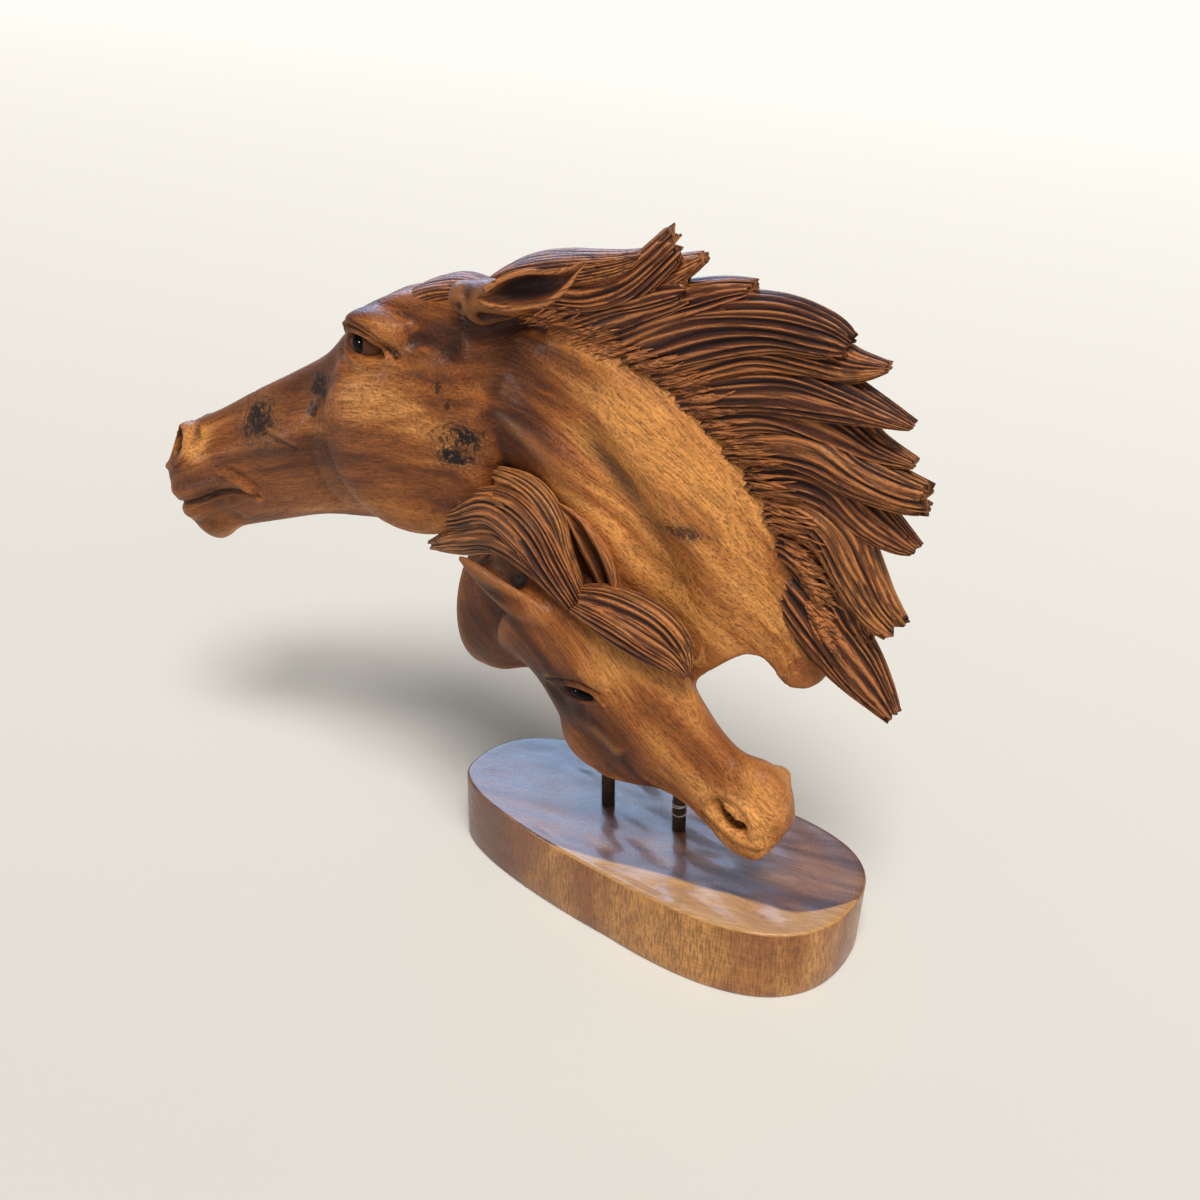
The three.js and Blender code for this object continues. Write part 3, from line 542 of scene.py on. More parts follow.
# Locks of hair. A lock is a lens-shaped body along its path, cut into strands by narrow furrows.
MANE_LOCKS = [
    ((-108, 346, 7), (-84, 351, 11), (-62, 355, 12), (-42, 358, 11), (-22, 367, 10), (2, 391, 9)),
    ((-87, 340, 10), (-56, 350, 13), (-27, 361, 11), (-6, 371, 8), (13, 382, 3)),
    ((-68, 335, 10), (-38, 347, 12), (-13, 358, 11), (9, 366, 6)),
    ((-56, 328, 11), (-27, 340, 12), (0, 354, 12), (24, 364, 9), (41, 370, 5)),
    ((-41, 323, 11), (-10, 337, 15), (22, 350, 15), (53, 357, 13), (78, 356, 10), (92, 353, 6)),
    ((-24, 315, 11), (12, 332, 13), (43, 344, 13), (73, 344, 11), (93, 342, 7), (110, 345, 2)),
    ((-7, 307, 11), (29, 321, 13), (60, 328, 13), (87, 327, 10), (108, 324, 6), (126, 321, 2)),
    ((10, 300, 11), (42, 313, 13), (66, 316, 13), (87, 311, 11), (107, 303, 7), (127, 300, 2)),
    ((26, 290, 11), (56, 300, 13), (80, 301, 13), (102, 292, 11), (123, 287, 9), (139, 286, 7)),
    ((39, 276, 11), (68, 285, 13), (88, 282, 13), (105, 269, 11), (121, 260, 7), (133, 255, 3)),
    ((51, 260, 11), (73, 267, 13), (92, 259, 14), (103, 242, 12), (116, 223, 10), (130, 211, 7)),
    ((57, 247, 9), (77, 245, 13), (94, 226, 13), (105, 205, 10), (114, 197, 4)),
    ((63, 231, 8), (80, 218, 15), (96, 199, 15), (113, 181, 12), (133, 161, 4)),
]
MANE_ROOT, MANE_TIP, MANE_LAYER, MANE_TAPER = 15, 5, 3, 1.7
SMALL_LOCKS = [
    ((-28, -39, 213, 4, 7), (-41, -35, 230, 7, 8), (-51, -30, 243, 10, 9), (-64, -25, 252, 10, 9),
     (-82, -19, 252, 10, 7), (-102, -4, 245, 7, 5)),
    ((-27, -41, 208, 6, 7), (-43, -39, 225, 11, 9), (-57, -35, 239, 13, 10), (-74, -29, 245, 12, 9),
     (-94, -21, 239, 10, 7), (-116, -8, 228, 7, 5)),
    ((-33, -40, 212, 5, 7), (-58, -36, 233, 9, 9), (-84, -29, 241, 11, 9), (-112, -21, 227, 8, 7),
     (-134, -16, 216, 3, 3)),
    ((-33, -40, 208, 4, 6), (-56, -36, 222, 7, 8), (-82, -30, 226, 9, 8), (-112, -21, 213, 8, 7),
     (-139, -15, 200, 3, 3)),
    ((-30, -38, 210, 5, 6), (-8, -36, 210, 9, 10), (15, -34, 203, 10, 10), (28, -33, 192, 8, 8),
     (35, -34, 179, 2, 3)),
    ((-28, -41, 207, 5, 6), (-8, -43, 204, 8, 8), (12, -43, 197, 9, 8), (27, -40, 189, 7, 6),
     (37, -37, 180, 2, 3)),
]
SMALL_FAR_EAR = [(-12, -30, 203, 5, 6, 1), (-16, -31, 213, 10, 9, 5), (-21, -31, 224, 12.5, 10, 7),
                 (-28, -30, 235, 12, 9, 6), (-37, -28, 246, 7, 6, 3), (-46, -27, 254, 0.8, 1, 0.2)]
FORELOCK = [(-172, 8, 327, 3, 6), (-158, 8, 333, 6, 13), (-142, 9, 341, 7, 15), (-124, 10, 346, 7, 13),
            (-106, 11, 347, 4, 8)]
POLL_LOCK = [(-114, 11, 343, 4, 7), (-101, 12, 350, 8, 14), (-84, 14, 358, 10, 18), (-66, 15, 363, 10, 18),
             (-48, 14, 367, 9, 15), (-30, 13, 372, 7, 10), (-12, 12, 380, 4, 6)]
EAR = [(-92, -26, 355, 1.5, 3, 0.5), (-85, -27, 357, 6, 8, 4), (-75, -26, 360.5, 9, 13, 8.5),
       (-65, -24, 363.5, 10, 14, 9.5), (-56, -22, 366, 9, 11, 8), (-48, -19, 370, 6, 7, 5),
       (-41, -17, 375.5, 2.6, 3, 1.5), (-36, -16, 380, 0.8, 1, 0.2)]
chance = np.random.default_rng(7)
PER_STRAND = 4


def lock_rings(path, steps, strands, depth, edge, shingle=0.0):
    """Rings of a lock, with how deep in a furrow each point lies: 0 on a crest, 1 in a furrow. A lock laid
    like a shingle has its lower edge nearer to the viewer than its upper one. Its tip is ragged."""
    rows = smooth_rows(path, steps)
    along = np.gradient(rows[:, [0, 2]], axis=0)
    along /= np.linalg.norm(along, axis=1)[:, None]
    side = strands * PER_STRAND
    warp = np.cumsum(chance.uniform(0.45, 1.6, strands))
    warp = np.concatenate([[0], warp / warp[-1]])
    even = np.interp(np.arange(side) / side, np.linspace(0, 1, strands + 1), warp)
    turn = np.concatenate([even * np.pi, np.pi + even * np.pi])
    furrow = np.tile(np.array([1, 0.38, 0.0, 0.38]), strands * 2)
    t = np.linspace(0, 1, steps)[:, None]
    strand_number = np.arange(side * 2) // PER_STRAND
    phase = chance.uniform(0, 2 * np.pi, strands * 2)[strand_number]
    pace = chance.uniform(3, 8, strands * 2)[strand_number]
    strength = 0.65 + 0.35 * np.sin(phase + pace * t)
    taken = np.minimum(depth, rows[:, 3, None] * 2 / strands * 0.95)
    lift = (0.35 - furrow) * taken * strength
    wave = 0.02 * np.sin(phase * 2 + pace * 0.7 * t)
    wave = wave + 0.09 * np.sin(chance.uniform(0, 7) + 8 * t + 3 * np.abs(turn - np.pi)) * np.sin(np.pi * t)
    notch = chance.uniform(0, 1, strands * 2)[strand_number] * np.clip(t * 6 - 5, 0, 1) ** 2
    notch = notch * rows[-1, 3] * 1.1
    steep = np.cos(turn) / rows[:, 3, None], np.sin(turn) / rows[:, 4, None]
    size = np.hypot(*steep)
    across = np.cos(turn + wave) * rows[:, 3, None] + lift * steep[0] / size
    rise = np.sign(np.sin(turn)) * np.abs(np.sin(turn)) ** edge * rows[:, 4, None] + lift * steep[1] / size
    rise = rise - shingle * across * np.sign(along[:, 0, None] + 0.001)
    x = rows[:, 0, None] - along[:, 1, None] * across - along[:, 0, None] * notch
    z = rows[:, 2, None] + along[:, 0, None] * across - along[:, 1, None] * notch
    return np.stack([x, rows[:, 1, None] + rise, z], -1), furrow * strength


def cup_rings(path, opening, steps, sides, rim):
    """A leaf hollowed like a spoon: x, y, z, half width, depth behind the rim, depth of the hollow, which
    opens in one direction. The second result is how deep in the hollow each point lies."""
    rows = smooth_rows(path, steps)
    along = np.gradient(rows[:, :3], axis=0)
    wide = np.cross(along, np.array(opening, float))
    wide /= np.linalg.norm(wide, axis=1)[:, None]
    deep = np.cross(along, wide)
    deep /= np.linalg.norm(deep, axis=1)[:, None]
    turn = (np.arange(sides) + 0.5) / sides * np.pi
    wall = np.minimum(rim, rows[:, 3, None] * 0.5)
    across = np.concatenate([np.cos(turn) * rows[:, 3, None], -np.cos(turn) * (rows[:, 3, None] - wall)], 1)
    back = np.concatenate([np.sin(turn) * rows[:, 4, None], np.sin(turn) ** 0.7 * rows[:, 5, None]], 1)
    rings = rows[:, None, :3] + across[..., None] * wide[:, None] + back[..., None] * deep[:, None]
    hollow = np.concatenate([np.zeros((steps, sides)), np.sin(turn) * rows[:, 5, None] / 9], 1)
    return rings, np.clip(hollow, 0, 1) * 0.8


hair = []
for index, line in enumerate(MANE_LOCKS):
    layer = MANE_LAYER if index % 2 else -MANE_LAYER
    path = []
    for i, (x, z, half) in enumerate(line):
        t = i / (len(line) - 1)
        thick = MANE_ROOT + (MANE_TIP - MANE_ROOT) * t ** MANE_TAPER - 6 * (1 - t) ** 4
        path.append((x, MANE_Y + layer * t, z, half, thick))
    hair.append((*lock_rings(path, 46, 10, 3.4, 0.7, -0.3), -0.4))
for path in SMALL_LOCKS:
    hair.append((*lock_rings(path, 40, 9, 2.6, 0.8), 0.15))
forelock, lines = lock_rings(FORELOCK, 30, 12, 0.7, 0.9)
hair.append((forelock, lines * 0.45, -0.3))
hair.append((*lock_rings(POLL_LOCK, 44, 22, 2.4, 0.85), -0.5))
hair.append((*cup_rings(SMALL_FAR_EAR, (-0.55, -0.75, 0.2), 26, 14, 7.0), 0.1))
near_ear, inside = cup_rings(EAR, (0, -1, 0), 30, 16, 2.8)
hair.append((near_ear, inside, -0.5))
hair.append((near_ear * [1, -1, 1] + [0, 2 * EAR_PLANE - 7, -17], inside, -0.5))

bm = bmesh.new()
furrow_layer = bm.verts.layers.float.new("furrow")
bm.from_mesh(skin_mesh)
tone_layer = bm.verts.layers.float["tone"]
grain_layer = bm.verts.layers.float_vector["grain"]
for number, (rings, furrow, lock_tone) in enumerate(hair):
    furrow = np.concatenate([furrow[:1] * 0, furrow, furrow[-1:] * 0])
    middle = rings.mean(1)
    length = np.concatenate([[0], np.cumsum(np.linalg.norm(np.diff(middle, axis=0), axis=1))])
    length = np.concatenate([length[:1], length, length[-1:]])
    middle = np.concatenate([middle[:1], middle, middle[-1:]])
    for vert, i, j in rolled(bm, rings):
        off = Vector(vert.co) - Vector(middle[i] * MM)
        way = middle[min(i + 1, len(middle) - 1)] - middle[max(i - 1, 0)]
        way = Vector((way[0], 0, way[2])).normalized()
        across = off.z * way.x - off.x * way.z
        vert[grain_layer] = (length[i] * MM + 0.13 * number, off.y, across + 0.09 * number)
        vert[furrow_layer] = furrow[i, j] + 0.05
        vert[tone_layer] = lock_tone + 0.5 * i / len(furrow)

# Short thin hairs where the mane grows out of the neck
MANE_EDGE = [
    (-79, 340), (-57, 336), (-35, 331), (-12, 325), (10, 315), (27, 302), (44, 285),
    (59, 267), (72, 248), (81, 229), (86, 210),
]
MANE_EDGE_WAYS = [30, 26, 24, 24, 22, 20, 16, 4, -12, -30, -48]
surface = BVHTree.FromBMesh(bm)
tufts = bmesh.new()
for name in ("furrow", "tone"):
    tufts.verts.layers.float.new(name)
tuft_grain = tufts.verts.layers.float_vector.new("grain")
tuft_furrow, tuft_tone = tufts.verts.layers.float["furrow"], tufts.verts.layers.float["tone"]
roots = smooth_rows([(*place, way) for place, way in zip(MANE_EDGE, MANE_EDGE_WAYS)], 190)
for side in (-1, 1):
    for x, z, way in roots:
        way = math.radians(way + chance.normal(0, 5))
        length, start, width = chance.uniform(14, 26), chance.uniform(-7, 3), chance.uniform(0.6, 1.1)
        bend = chance.normal(0, 1.2)
        path = []
        for t in np.linspace(0, 1, 6):
            away = start + length * t
            px = x + away * math.cos(way) - bend * t * t * math.sin(way)
            pz = z + away * math.sin(way) + bend * t * t * math.cos(way)
            hit = surface.ray_cast(Vector((px * MM, side * 0.12, pz * MM)), Vector((0, -side, 0)))[0]
            if hit is None:
                break
            path.append((px, hit.y / MM + side * (0.8 * math.sin(math.pi * t) - 0.5), pz,
                         width * (0.3 + 0.7 * math.sin(math.pi * t)), 1.2))
        if len(path) == 6 and max(abs(a[1] - b[1]) for a, b in zip(path, path[1:])) < 4:
            rings = strand_rings(path, 9, 6)
            ring_verts = [[tufts.verts.new(point) for point in ring * MM] for ring in rings]
            for a, b in zip(ring_verts, ring_verts[1:]):
                for j in range(6):
                    tufts.faces.new((a[j], a[(j + 1) % 6], b[(j + 1) % 6], b[j]))
            tufts.faces.new(ring_verts[0][::-1])
            tufts.faces.new(ring_verts[-1])
            for vert in sum(ring_verts, []):
                vert[tuft_furrow] = 0.06
                vert[tuft_tone] = -0.5
                vert[tuft_grain] = vert.co
bmesh.ops.recalc_face_normals(tufts, faces=tufts.faces)
tuft_mesh = bpy.data.meshes.new("tufts")
tufts.to_mesh(tuft_mesh)
tufts.free()
new = [v for v in bm.verts if v[furrow_layer] > 0.04]
bmesh.ops.remove_doubles(bm, verts=new, dist=1e-6)
faces = [f for f in bm.faces if all(v[furrow_layer] > 0.04 for v in f.verts)]
bmesh.ops.recalc_face_normals(bm, faces=faces)
for face in bm.faces:
    face.smooth = True

# Eyes: polished dark balls set between the lids
EYES = [((-172, -15.6, 314), (11.5, 6, 8.2), float(stallion_middle(-179))),
        ((-20, -45.5, 157), (9, 4.4, 4.6), SMALL_HORSE_Y)]
for centre, radii, plane in EYES:
    for rings in on_both_sides(ball_rings(centre, radii, 0, 32, 20), plane):
        before = set(bm.faces)
        made = [vert for vert, _, _ in rolled(bm, rings)]
        for vert in made:
            from_pupil = math.hypot((vert.co.x / MM + 174.5) / 3.9, (vert.co.z / MM - 315) / 5.6)
            vert[tone_layer] = from_pupil - 1 if centre[0] < -100 else -1
        bmesh.ops.remove_doubles(bm, verts=made, dist=1e-6)
        ball = [f for f in bm.faces if f not in before]
        bmesh.ops.recalc_face_normals(bm, faces=ball)
        for face in ball:
            face.smooth = True
            face.material_index = 1
bm.from_mesh(tuft_mesh)
for face in bm.faces:
    face.smooth = True
carving_mesh = bpy.data.meshes.new("horse_heads")
bm.to_mesh(carving_mesh)
bm.free()

def add_math(tree, operation, first, second):
    """A maths node on two sockets or numbers; gives its output."""
    node = tree.nodes.new("ShaderNodeMath")
    node.operation = operation
    for socket, value in zip(node.inputs, (first, second)):
        if isinstance(value, (int, float)):
            socket.default_value = value
        else:
            tree.links.new(value, socket)
    return node.outputs[0]


def add_mix(tree, factor, first, second, blend="MIX"):
    """A colour mix of two sockets or colours; gives its output."""
    node = tree.nodes.new("ShaderNodeMix")
    node.data_type = "RGBA"
    node.blend_type = blend
    for socket, value in zip((node.inputs[0], node.inputs[6], node.inputs[7]), (factor, first, second)):
        if isinstance(value, bpy.types.NodeSocket):
            tree.links.new(value, socket)
        else:
            socket.default_value = value if isinstance(value, (int, float)) else (*value, 1)
    return node.outputs[2]


def add_range(tree, value, low, high, to_low=0.0, to_high=1.0):
    """A number that runs from one range to another, kept inside it; gives its output."""
    node = tree.nodes.new("ShaderNodeMapRange")
    node.interpolation_type = "SMOOTHSTEP"
    tree.links.new(value, node.inputs["Value"])
    node.inputs["From Min"].default_value = low
    node.inputs["From Max"].default_value = high
    node.inputs["To Min"].default_value = to_low
    node.inputs["To Max"].default_value = to_high
    return node.outputs["Result"]


def add_noise(tree, vector, stretch, detail, distortion=0.0):
    """Noise with its own scale along X, Y and Z, in cells to the metre; gives its output."""
    scaled = tree.nodes.new("ShaderNodeVectorMath")
    scaled.operation = "MULTIPLY"
    tree.links.new(vector, scaled.inputs[0])
    scaled.inputs[1].default_value = stretch
    node = tree.nodes.new("ShaderNodeTexNoise")
    node.inputs["Scale"].default_value = 1.0
    node.inputs["Detail"].default_value = detail
    node.inputs["Distortion"].default_value = distortion
    tree.links.new(scaled.outputs[0], node.inputs["Vector"])
    return node.outputs["Fac"], node.outputs["Color"]


grain_group = bpy.data.node_groups.new("wood_grain", "ShaderNodeTree")
grain_group.interface.new_socket("Vector", in_out="INPUT", socket_type="NodeSocketVector")
for name in ("Band", "Fine", "Streak", "Pore"):
    grain_group.interface.new_socket(name, in_out="OUTPUT", socket_type="NodeSocketFloat")
inside = grain_group.nodes.new("NodeGroupInput")
result = grain_group.nodes.new("NodeGroupOutput")
_, wander = add_noise(grain_group, inside.outputs["Vector"], (6, 9, 9), 2)
centred = grain_group.nodes.new("ShaderNodeVectorMath")
centred.operation = "MULTIPLY_ADD"
centred.inputs[1].default_value = (0.05, 0.05, 0.05)
grain_group.links.new(wander, centred.inputs[0])
grain_group.links.new(inside.outputs["Vector"], centred.inputs[2])
warped = centred.outputs[0]
grain_group.links.new(add_noise(grain_group, warped, (2.6, 24, 24), 3, 0.3)[0], result.inputs["Band"])
grain_group.links.new(add_noise(grain_group, warped, (9, 150, 150), 4, 0.2)[0], result.inputs["Fine"])
grain_group.links.new(add_noise(grain_group, warped, (60, 900, 900), 3)[0], result.inputs["Streak"])
pores = add_noise(grain_group, warped, (150, 1100, 1100), 1)[0]
grain_group.links.new(add_range(grain_group, pores, 0.60, 0.72), result.inputs["Pore"])

knot_group = bpy.data.node_groups.new("wood_knot", "ShaderNodeTree")
for name, kind in (("Vector", "NodeSocketVector"), ("Centre", "NodeSocketVector"), ("Across", "NodeSocketVector")):
    knot_group.interface.new_socket(name, in_out="INPUT", socket_type=kind)
for name in ("Near", "Ring", "Spot"):
    knot_group.interface.new_socket(name, in_out="OUTPUT", socket_type="NodeSocketFloat")
inside = knot_group.nodes.new("NodeGroupInput")
result = knot_group.nodes.new("NodeGroupOutput")
offset = knot_group.nodes.new("ShaderNodeVectorMath")
offset.operation = "SUBTRACT"
knot_group.links.new(inside.outputs["Vector"], offset.inputs[0])
knot_group.links.new(inside.outputs["Centre"], offset.inputs[1])
scaled = knot_group.nodes.new("ShaderNodeVectorMath")
scaled.operation = "DIVIDE"
knot_group.links.new(offset.outputs[0], scaled.inputs[0])
knot_group.links.new(inside.outputs["Across"], scaled.inputs[1])
reach = knot_group.nodes.new("ShaderNodeVectorMath")
reach.operation = "LENGTH"
knot_group.links.new(scaled.outputs[0], reach.inputs[0])
rough = add_noise(knot_group, inside.outputs["Vector"], (110, 110, 110), 3)[0]
fleck = add_noise(knot_group, inside.outputs["Vector"], (430, 430, 430), 3)[0]
uneven = add_math(knot_group, "ADD", reach.outputs["Value"], add_math(knot_group, "MULTIPLY", rough, 0.9))
turns = add_math(knot_group, "SINE", add_math(knot_group, "MULTIPLY", uneven, 30), 0)
line = add_math(knot_group, "MULTIPLY", add_range(knot_group, turns, 0.1, 1), add_range(knot_group, fleck, 0.3, 0.55))
knot_group.links.new(line, result.inputs["Ring"])
knot_group.links.new(add_range(knot_group, uneven, 0.95, 1.75, 1, 0), result.inputs["Near"])
frayed = add_math(knot_group, "ADD", uneven, add_math(knot_group, "MULTIPLY", fleck, 0.8))
spot = add_math(knot_group, "MULTIPLY", add_range(knot_group, frayed, 1.1, 1.5, 1, 0),
                add_range(knot_group, fleck, 0.54, 0.66, 1, 0.2))
knot_group.links.new(spot, result.inputs["Spot"])

wood = bpy.data.materials.new("carved_wood")
wood.use_nodes = True
tree = wood.node_tree
nodes, links = tree.nodes, tree.links
shader = nodes["Principled BSDF"]
coords = nodes.new("ShaderNodeTexCoord").outputs["Object"]
marks = {}
for name in ("furrow", "hollow", "tone", "grain"):
    node = nodes.new("ShaderNodeAttribute")
    node.attribute_name = name
    marks[name] = node.outputs["Vector" if name == "grain" else "Fac"]
grain = nodes.new("ShaderNodeGroup")
grain.node_tree = grain_group
links.new(marks["grain"], grain.inputs["Vector"])
# The tone lightens or darkens the wood: the wood's own golden and dark patches, the painted shade and painted light of
# the tone spots, and each lock's tone.
level = add_math(tree, "ADD", grain.outputs["Band"], add_math(tree, "MULTIPLY", marks["tone"], 0.20))
level = add_math(tree, "ADD", level, add_math(tree, "MULTIPLY", grain.outputs["Fine"], 0.42))
ramp = nodes.new("ShaderNodeValToRGB")
ramp.color_ramp.elements.new(0.5)
ramp.color_ramp.elements.new(0.6)
for element, (position, colour) in zip(ramp.color_ramp.elements, (
        (0.45, (0.038, 0.010, 0.005)), (0.60, (0.128, 0.035, 0.009)), (0.75, (0.300, 0.094, 0.019)),
        (0.94, (0.640, 0.275, 0.072)))):
    element.position = position
    element.color = (*colour, 1)
links.new(level, ramp.inputs["Fac"])
streak = add_range(tree, grain.outputs["Streak"], 0.3, 0.7, 0.72, 1.25)
shade = nodes.new("ShaderNodeCombineColor")
for socket in shade.inputs[:3]:
    links.new(streak, socket)
colour = add_mix(tree, 1.0, ramp.outputs["Color"], shade.outputs["Color"], "MULTIPLY")
height = add_math(tree, "SUBTRACT", grain.outputs["Streak"], grain.outputs["Pore"])
speckle = add_range(tree, add_noise(tree, coords, (620, 620, 620), 3)[0], 0.50, 0.68, 0, 0.3)
colour = add_mix(tree, speckle, colour, (0.075, 0.024, 0.010))
height = add_math(tree, "SUBTRACT", height, add_math(tree, "MULTIPLY", speckle, 4.0))
colour = add_mix(tree, add_math(tree, "MULTIPLY", grain.outputs["Pore"], 0.5), colour, (0.045, 0.015, 0.010))
KNOTS = [
    ((-0.256, -0.019, 0.253), (0.023, 0.04, 0.022), 0.95, 0.8), ((-0.207, -0.02, 0.283), (0.016, 0.04, 0.012), 0.9, 0.8),
    ((-0.212, -0.021, 0.269), (0.009, 0.03, 0.007), 0.9, 0), ((-0.111, -0.023, 0.271), (0.017, 0.04, 0.015), 0.0, 1.0),
    ((-0.106, -0.022, 0.275), (0.015, 0.04, 0.012), 1.0, 0), ((-0.114, -0.024, 0.265), (0.018, 0.04, 0.012), 1.0, 0),
    ((0.018, -0.014, 0.248), (0.020, 0.04, 0.006), 0.8, 0.5), ((-0.123, -0.024, 0.300), (0.003, 0.03, 0.006), 0.8, 0),
    ((-0.117, -0.024, 0.292), (0.003, 0.03, 0.006), 0.8, 0), ((-0.140, -0.004, 0.343), (0.006, 0.03, 0.004), 0.9, 0),
]
for centre, across, darkness, rings in KNOTS:
    knot = nodes.new("ShaderNodeGroup")
    knot.node_tree = knot_group
    links.new(coords, knot.inputs["Vector"])
    knot.inputs["Centre"].default_value = centre
    knot.inputs["Across"].default_value = across
    if rings:
        colour = add_mix(tree, add_math(tree, "MULTIPLY", knot.outputs["Near"], 0.3), colour, (0.20, 0.095, 0.045))
        line = add_math(tree, "MULTIPLY", knot.outputs["Near"], knot.outputs["Ring"])
        colour = add_mix(tree, add_math(tree, "MULTIPLY", line, rings), colour, (0.032, 0.014, 0.010))
    colour = add_mix(tree, add_math(tree, "MULTIPLY", knot.outputs["Spot"], darkness), colour, (0.010, 0.006, 0.006))
    height = add_math(tree, "ADD", height, add_math(tree, "MULTIPLY", knot.outputs["Spot"], -2.0 * darkness))
# Painted light: the proud parts of the skin are made lighter.
proud_light = add_range(tree, marks["hollow"], -0.1, -0.9, 0, 0.5)
colour = add_mix(tree, proud_light, colour, (0.42, 0.160, 0.048))
on_hair = add_range(tree, marks["furrow"], 0.01, 0.05)
colour = add_mix(tree, add_math(tree, "MULTIPLY", on_hair, 0.4), colour, (0.150, 0.042, 0.018))
# Painted highlight: the crests of the strands, and the short hairs, are made lighter and more golden.
crest = add_math(tree, "MULTIPLY", on_hair, add_range(tree, marks["furrow"], 0.06, 0.28, 0.60, 0))
colour = add_mix(tree, crest, colour, (0.66, 0.250, 0.080))
fibre = add_noise(tree, marks["grain"], (24, 620, 620), 3, 0.5)[0]
fibre = add_math(tree, "MULTIPLY", on_hair, add_range(tree, fibre, 0.48, 0.62))
colour = add_mix(tree, add_math(tree, "MULTIPLY", fibre, 0.72), colour, (0.040, 0.014, 0.011))
height = add_math(tree, "ADD", height, add_math(tree, "MULTIPLY", fibre, -2.6))
# Painted shade: the hollows of the skin are darkened.
hollow_shade = add_range(tree, marks["hollow"], 0.06, 0.75, 0, 0.88)
colour = add_mix(tree, hollow_shade, colour, (0.030, 0.008, 0.004))
# Painted shade: the furrows between the strands and the hollows of the ears are darkened almost to black.
furrow_shade = add_range(tree, marks["furrow"], 0.10, 0.75, 0, 0.93)
colour = add_mix(tree, furrow_shade, colour, (0.016, 0.006, 0.007))
links.new(colour, shader.inputs["Base Color"])
links.new(add_range(tree, marks["furrow"], 0.0, 0.9, 0.45, 0.66), shader.inputs["Roughness"])
shader.inputs["Specular IOR Level"].default_value = 0.2
shader.inputs["Coat Weight"].default_value = 0.06
shader.inputs["Coat Roughness"].default_value = 0.25
bump = nodes.new("ShaderNodeBump")
bump.inputs["Strength"].default_value = 0.6
bump.inputs["Distance"].default_value = 0.0005
links.new(height, bump.inputs["Height"])
links.new(bump.outputs["Normal"], shader.inputs["Normal"])

eye = bpy.data.materials.new("polished_eye")
eye.use_nodes = True
tree = eye.node_tree
shader = tree.nodes["Principled BSDF"]
place = tree.nodes.new("ShaderNodeAttribute")
place.attribute_name = "tone"
iris = add_range(tree, place.outputs["Fac"], -0.1, 0.1)
tree.links.new(add_mix(tree, iris, (0.002, 0.001, 0.001), (0.095, 0.036, 0.020)), shader.inputs["Base Color"])
shader.inputs["Roughness"].default_value = 0.05
shader.inputs["Specular IOR Level"].default_value = 0.08
carving_mesh.materials.append(wood)
carving_mesh.materials.append(eye)
carving = bpy.data.objects.new("horse_heads", carving_mesh)
bpy.context.collection.objects.link(carving)
thinned = carving.modifiers.new("thinned", "DECIMATE")
thinned.ratio = 0.44
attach(carving, "root")
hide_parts("horse_heads_carving")

# The slab: an oval cut from a plank across its sapwood edge, planed a little unevenly on top, with its
# edges rounded off, sanded and varnished.
BASE_HALF_LENGTH, BASE_HALF_WIDTH, BASE_SQUARENESS, BASE_THICKNESS = 128, 54, 2.31, 45
BASE_FAR_SWELL, BASE_NEAR_SWELL = (-0.04, 0.23), (0.37, 0.1)
BASE_SIDES = 192


def slab_ring(z, inset, shrink=1.0):
    """The slab's outline at a height, pulled in by an inset and shrunk towards the middle."""
    turn = np.arange(BASE_SIDES) / BASE_SIDES * 2 * np.pi
    along = np.sign(np.cos(turn)) * np.abs(np.cos(turn)) ** (2 / BASE_SQUARENESS)
    across = np.sign(np.sin(turn)) * np.abs(np.sin(turn)) ** (2 / BASE_SQUARENESS)
    tilt, ends = (np.where(across > 0, far, near) for far, near in zip(BASE_FAR_SWELL, BASE_NEAR_SWELL))
    x, y = BASE_HALF_LENGTH * along, BASE_HALF_WIDTH * across * (1 + tilt * along + ends * along ** 2)
    right = np.maximum(along, 0)
    taper = 1 - z / BASE_THICKNESS
    scale = 1 - (inset + 0.2 + taper * (-1 - 8 * right * (1 - right) + 3.5 * right ** 4)) / np.hypot(x, y)
    return np.stack([x * scale * shrink, y * scale * shrink, 0 * x + z], -1)


profile = [(0, 1.6, k / 6) for k in range(1, 7)]
profile += [(0.5, 0.7, 1), (2, 0, 1), (12, 0, 1), (22, 0, 1), (32, 0, 1), (42.6, 0, 1), (43.6, 0.15, 1),
            (44.4, 0.6, 1), (44.85, 1.3, 1), (45, 2.2, 1)]
profile += [(45, 2.2, 1 - k / 40) for k in range(1, 40)]
slab_rings = np.array([slab_ring(*row) for row in profile])
planed = np.zeros(slab_rings.shape[:2])
for _ in range(14):
    heading, pace, phase = chance.uniform(0, np.pi), 2 * np.pi / chance.uniform(20, 55), chance.uniform(0, 7)
    way = slab_rings[..., 0] * math.cos(heading) + slab_rings[..., 1] * math.sin(heading) * 1.4
    planed += np.sin(way * pace + phase) / 14
from_rim = np.clip((np.arange(len(profile)) - 15) / 5, 0, 1)[:, None]
slab_rings[..., 2] += from_rim * np.minimum(0, planed * 1.3 - 0.6)
bm = bmesh.new()
rolled(bm, slab_rings)
bmesh.ops.remove_doubles(bm, verts=bm.verts, dist=1e-6)
bmesh.ops.recalc_face_normals(bm, faces=bm.faces)
for face in bm.faces:
    face.smooth = True
slab_mesh = bpy.data.meshes.new("oval_slab")
bm.to_mesh(slab_mesh)
bm.free()

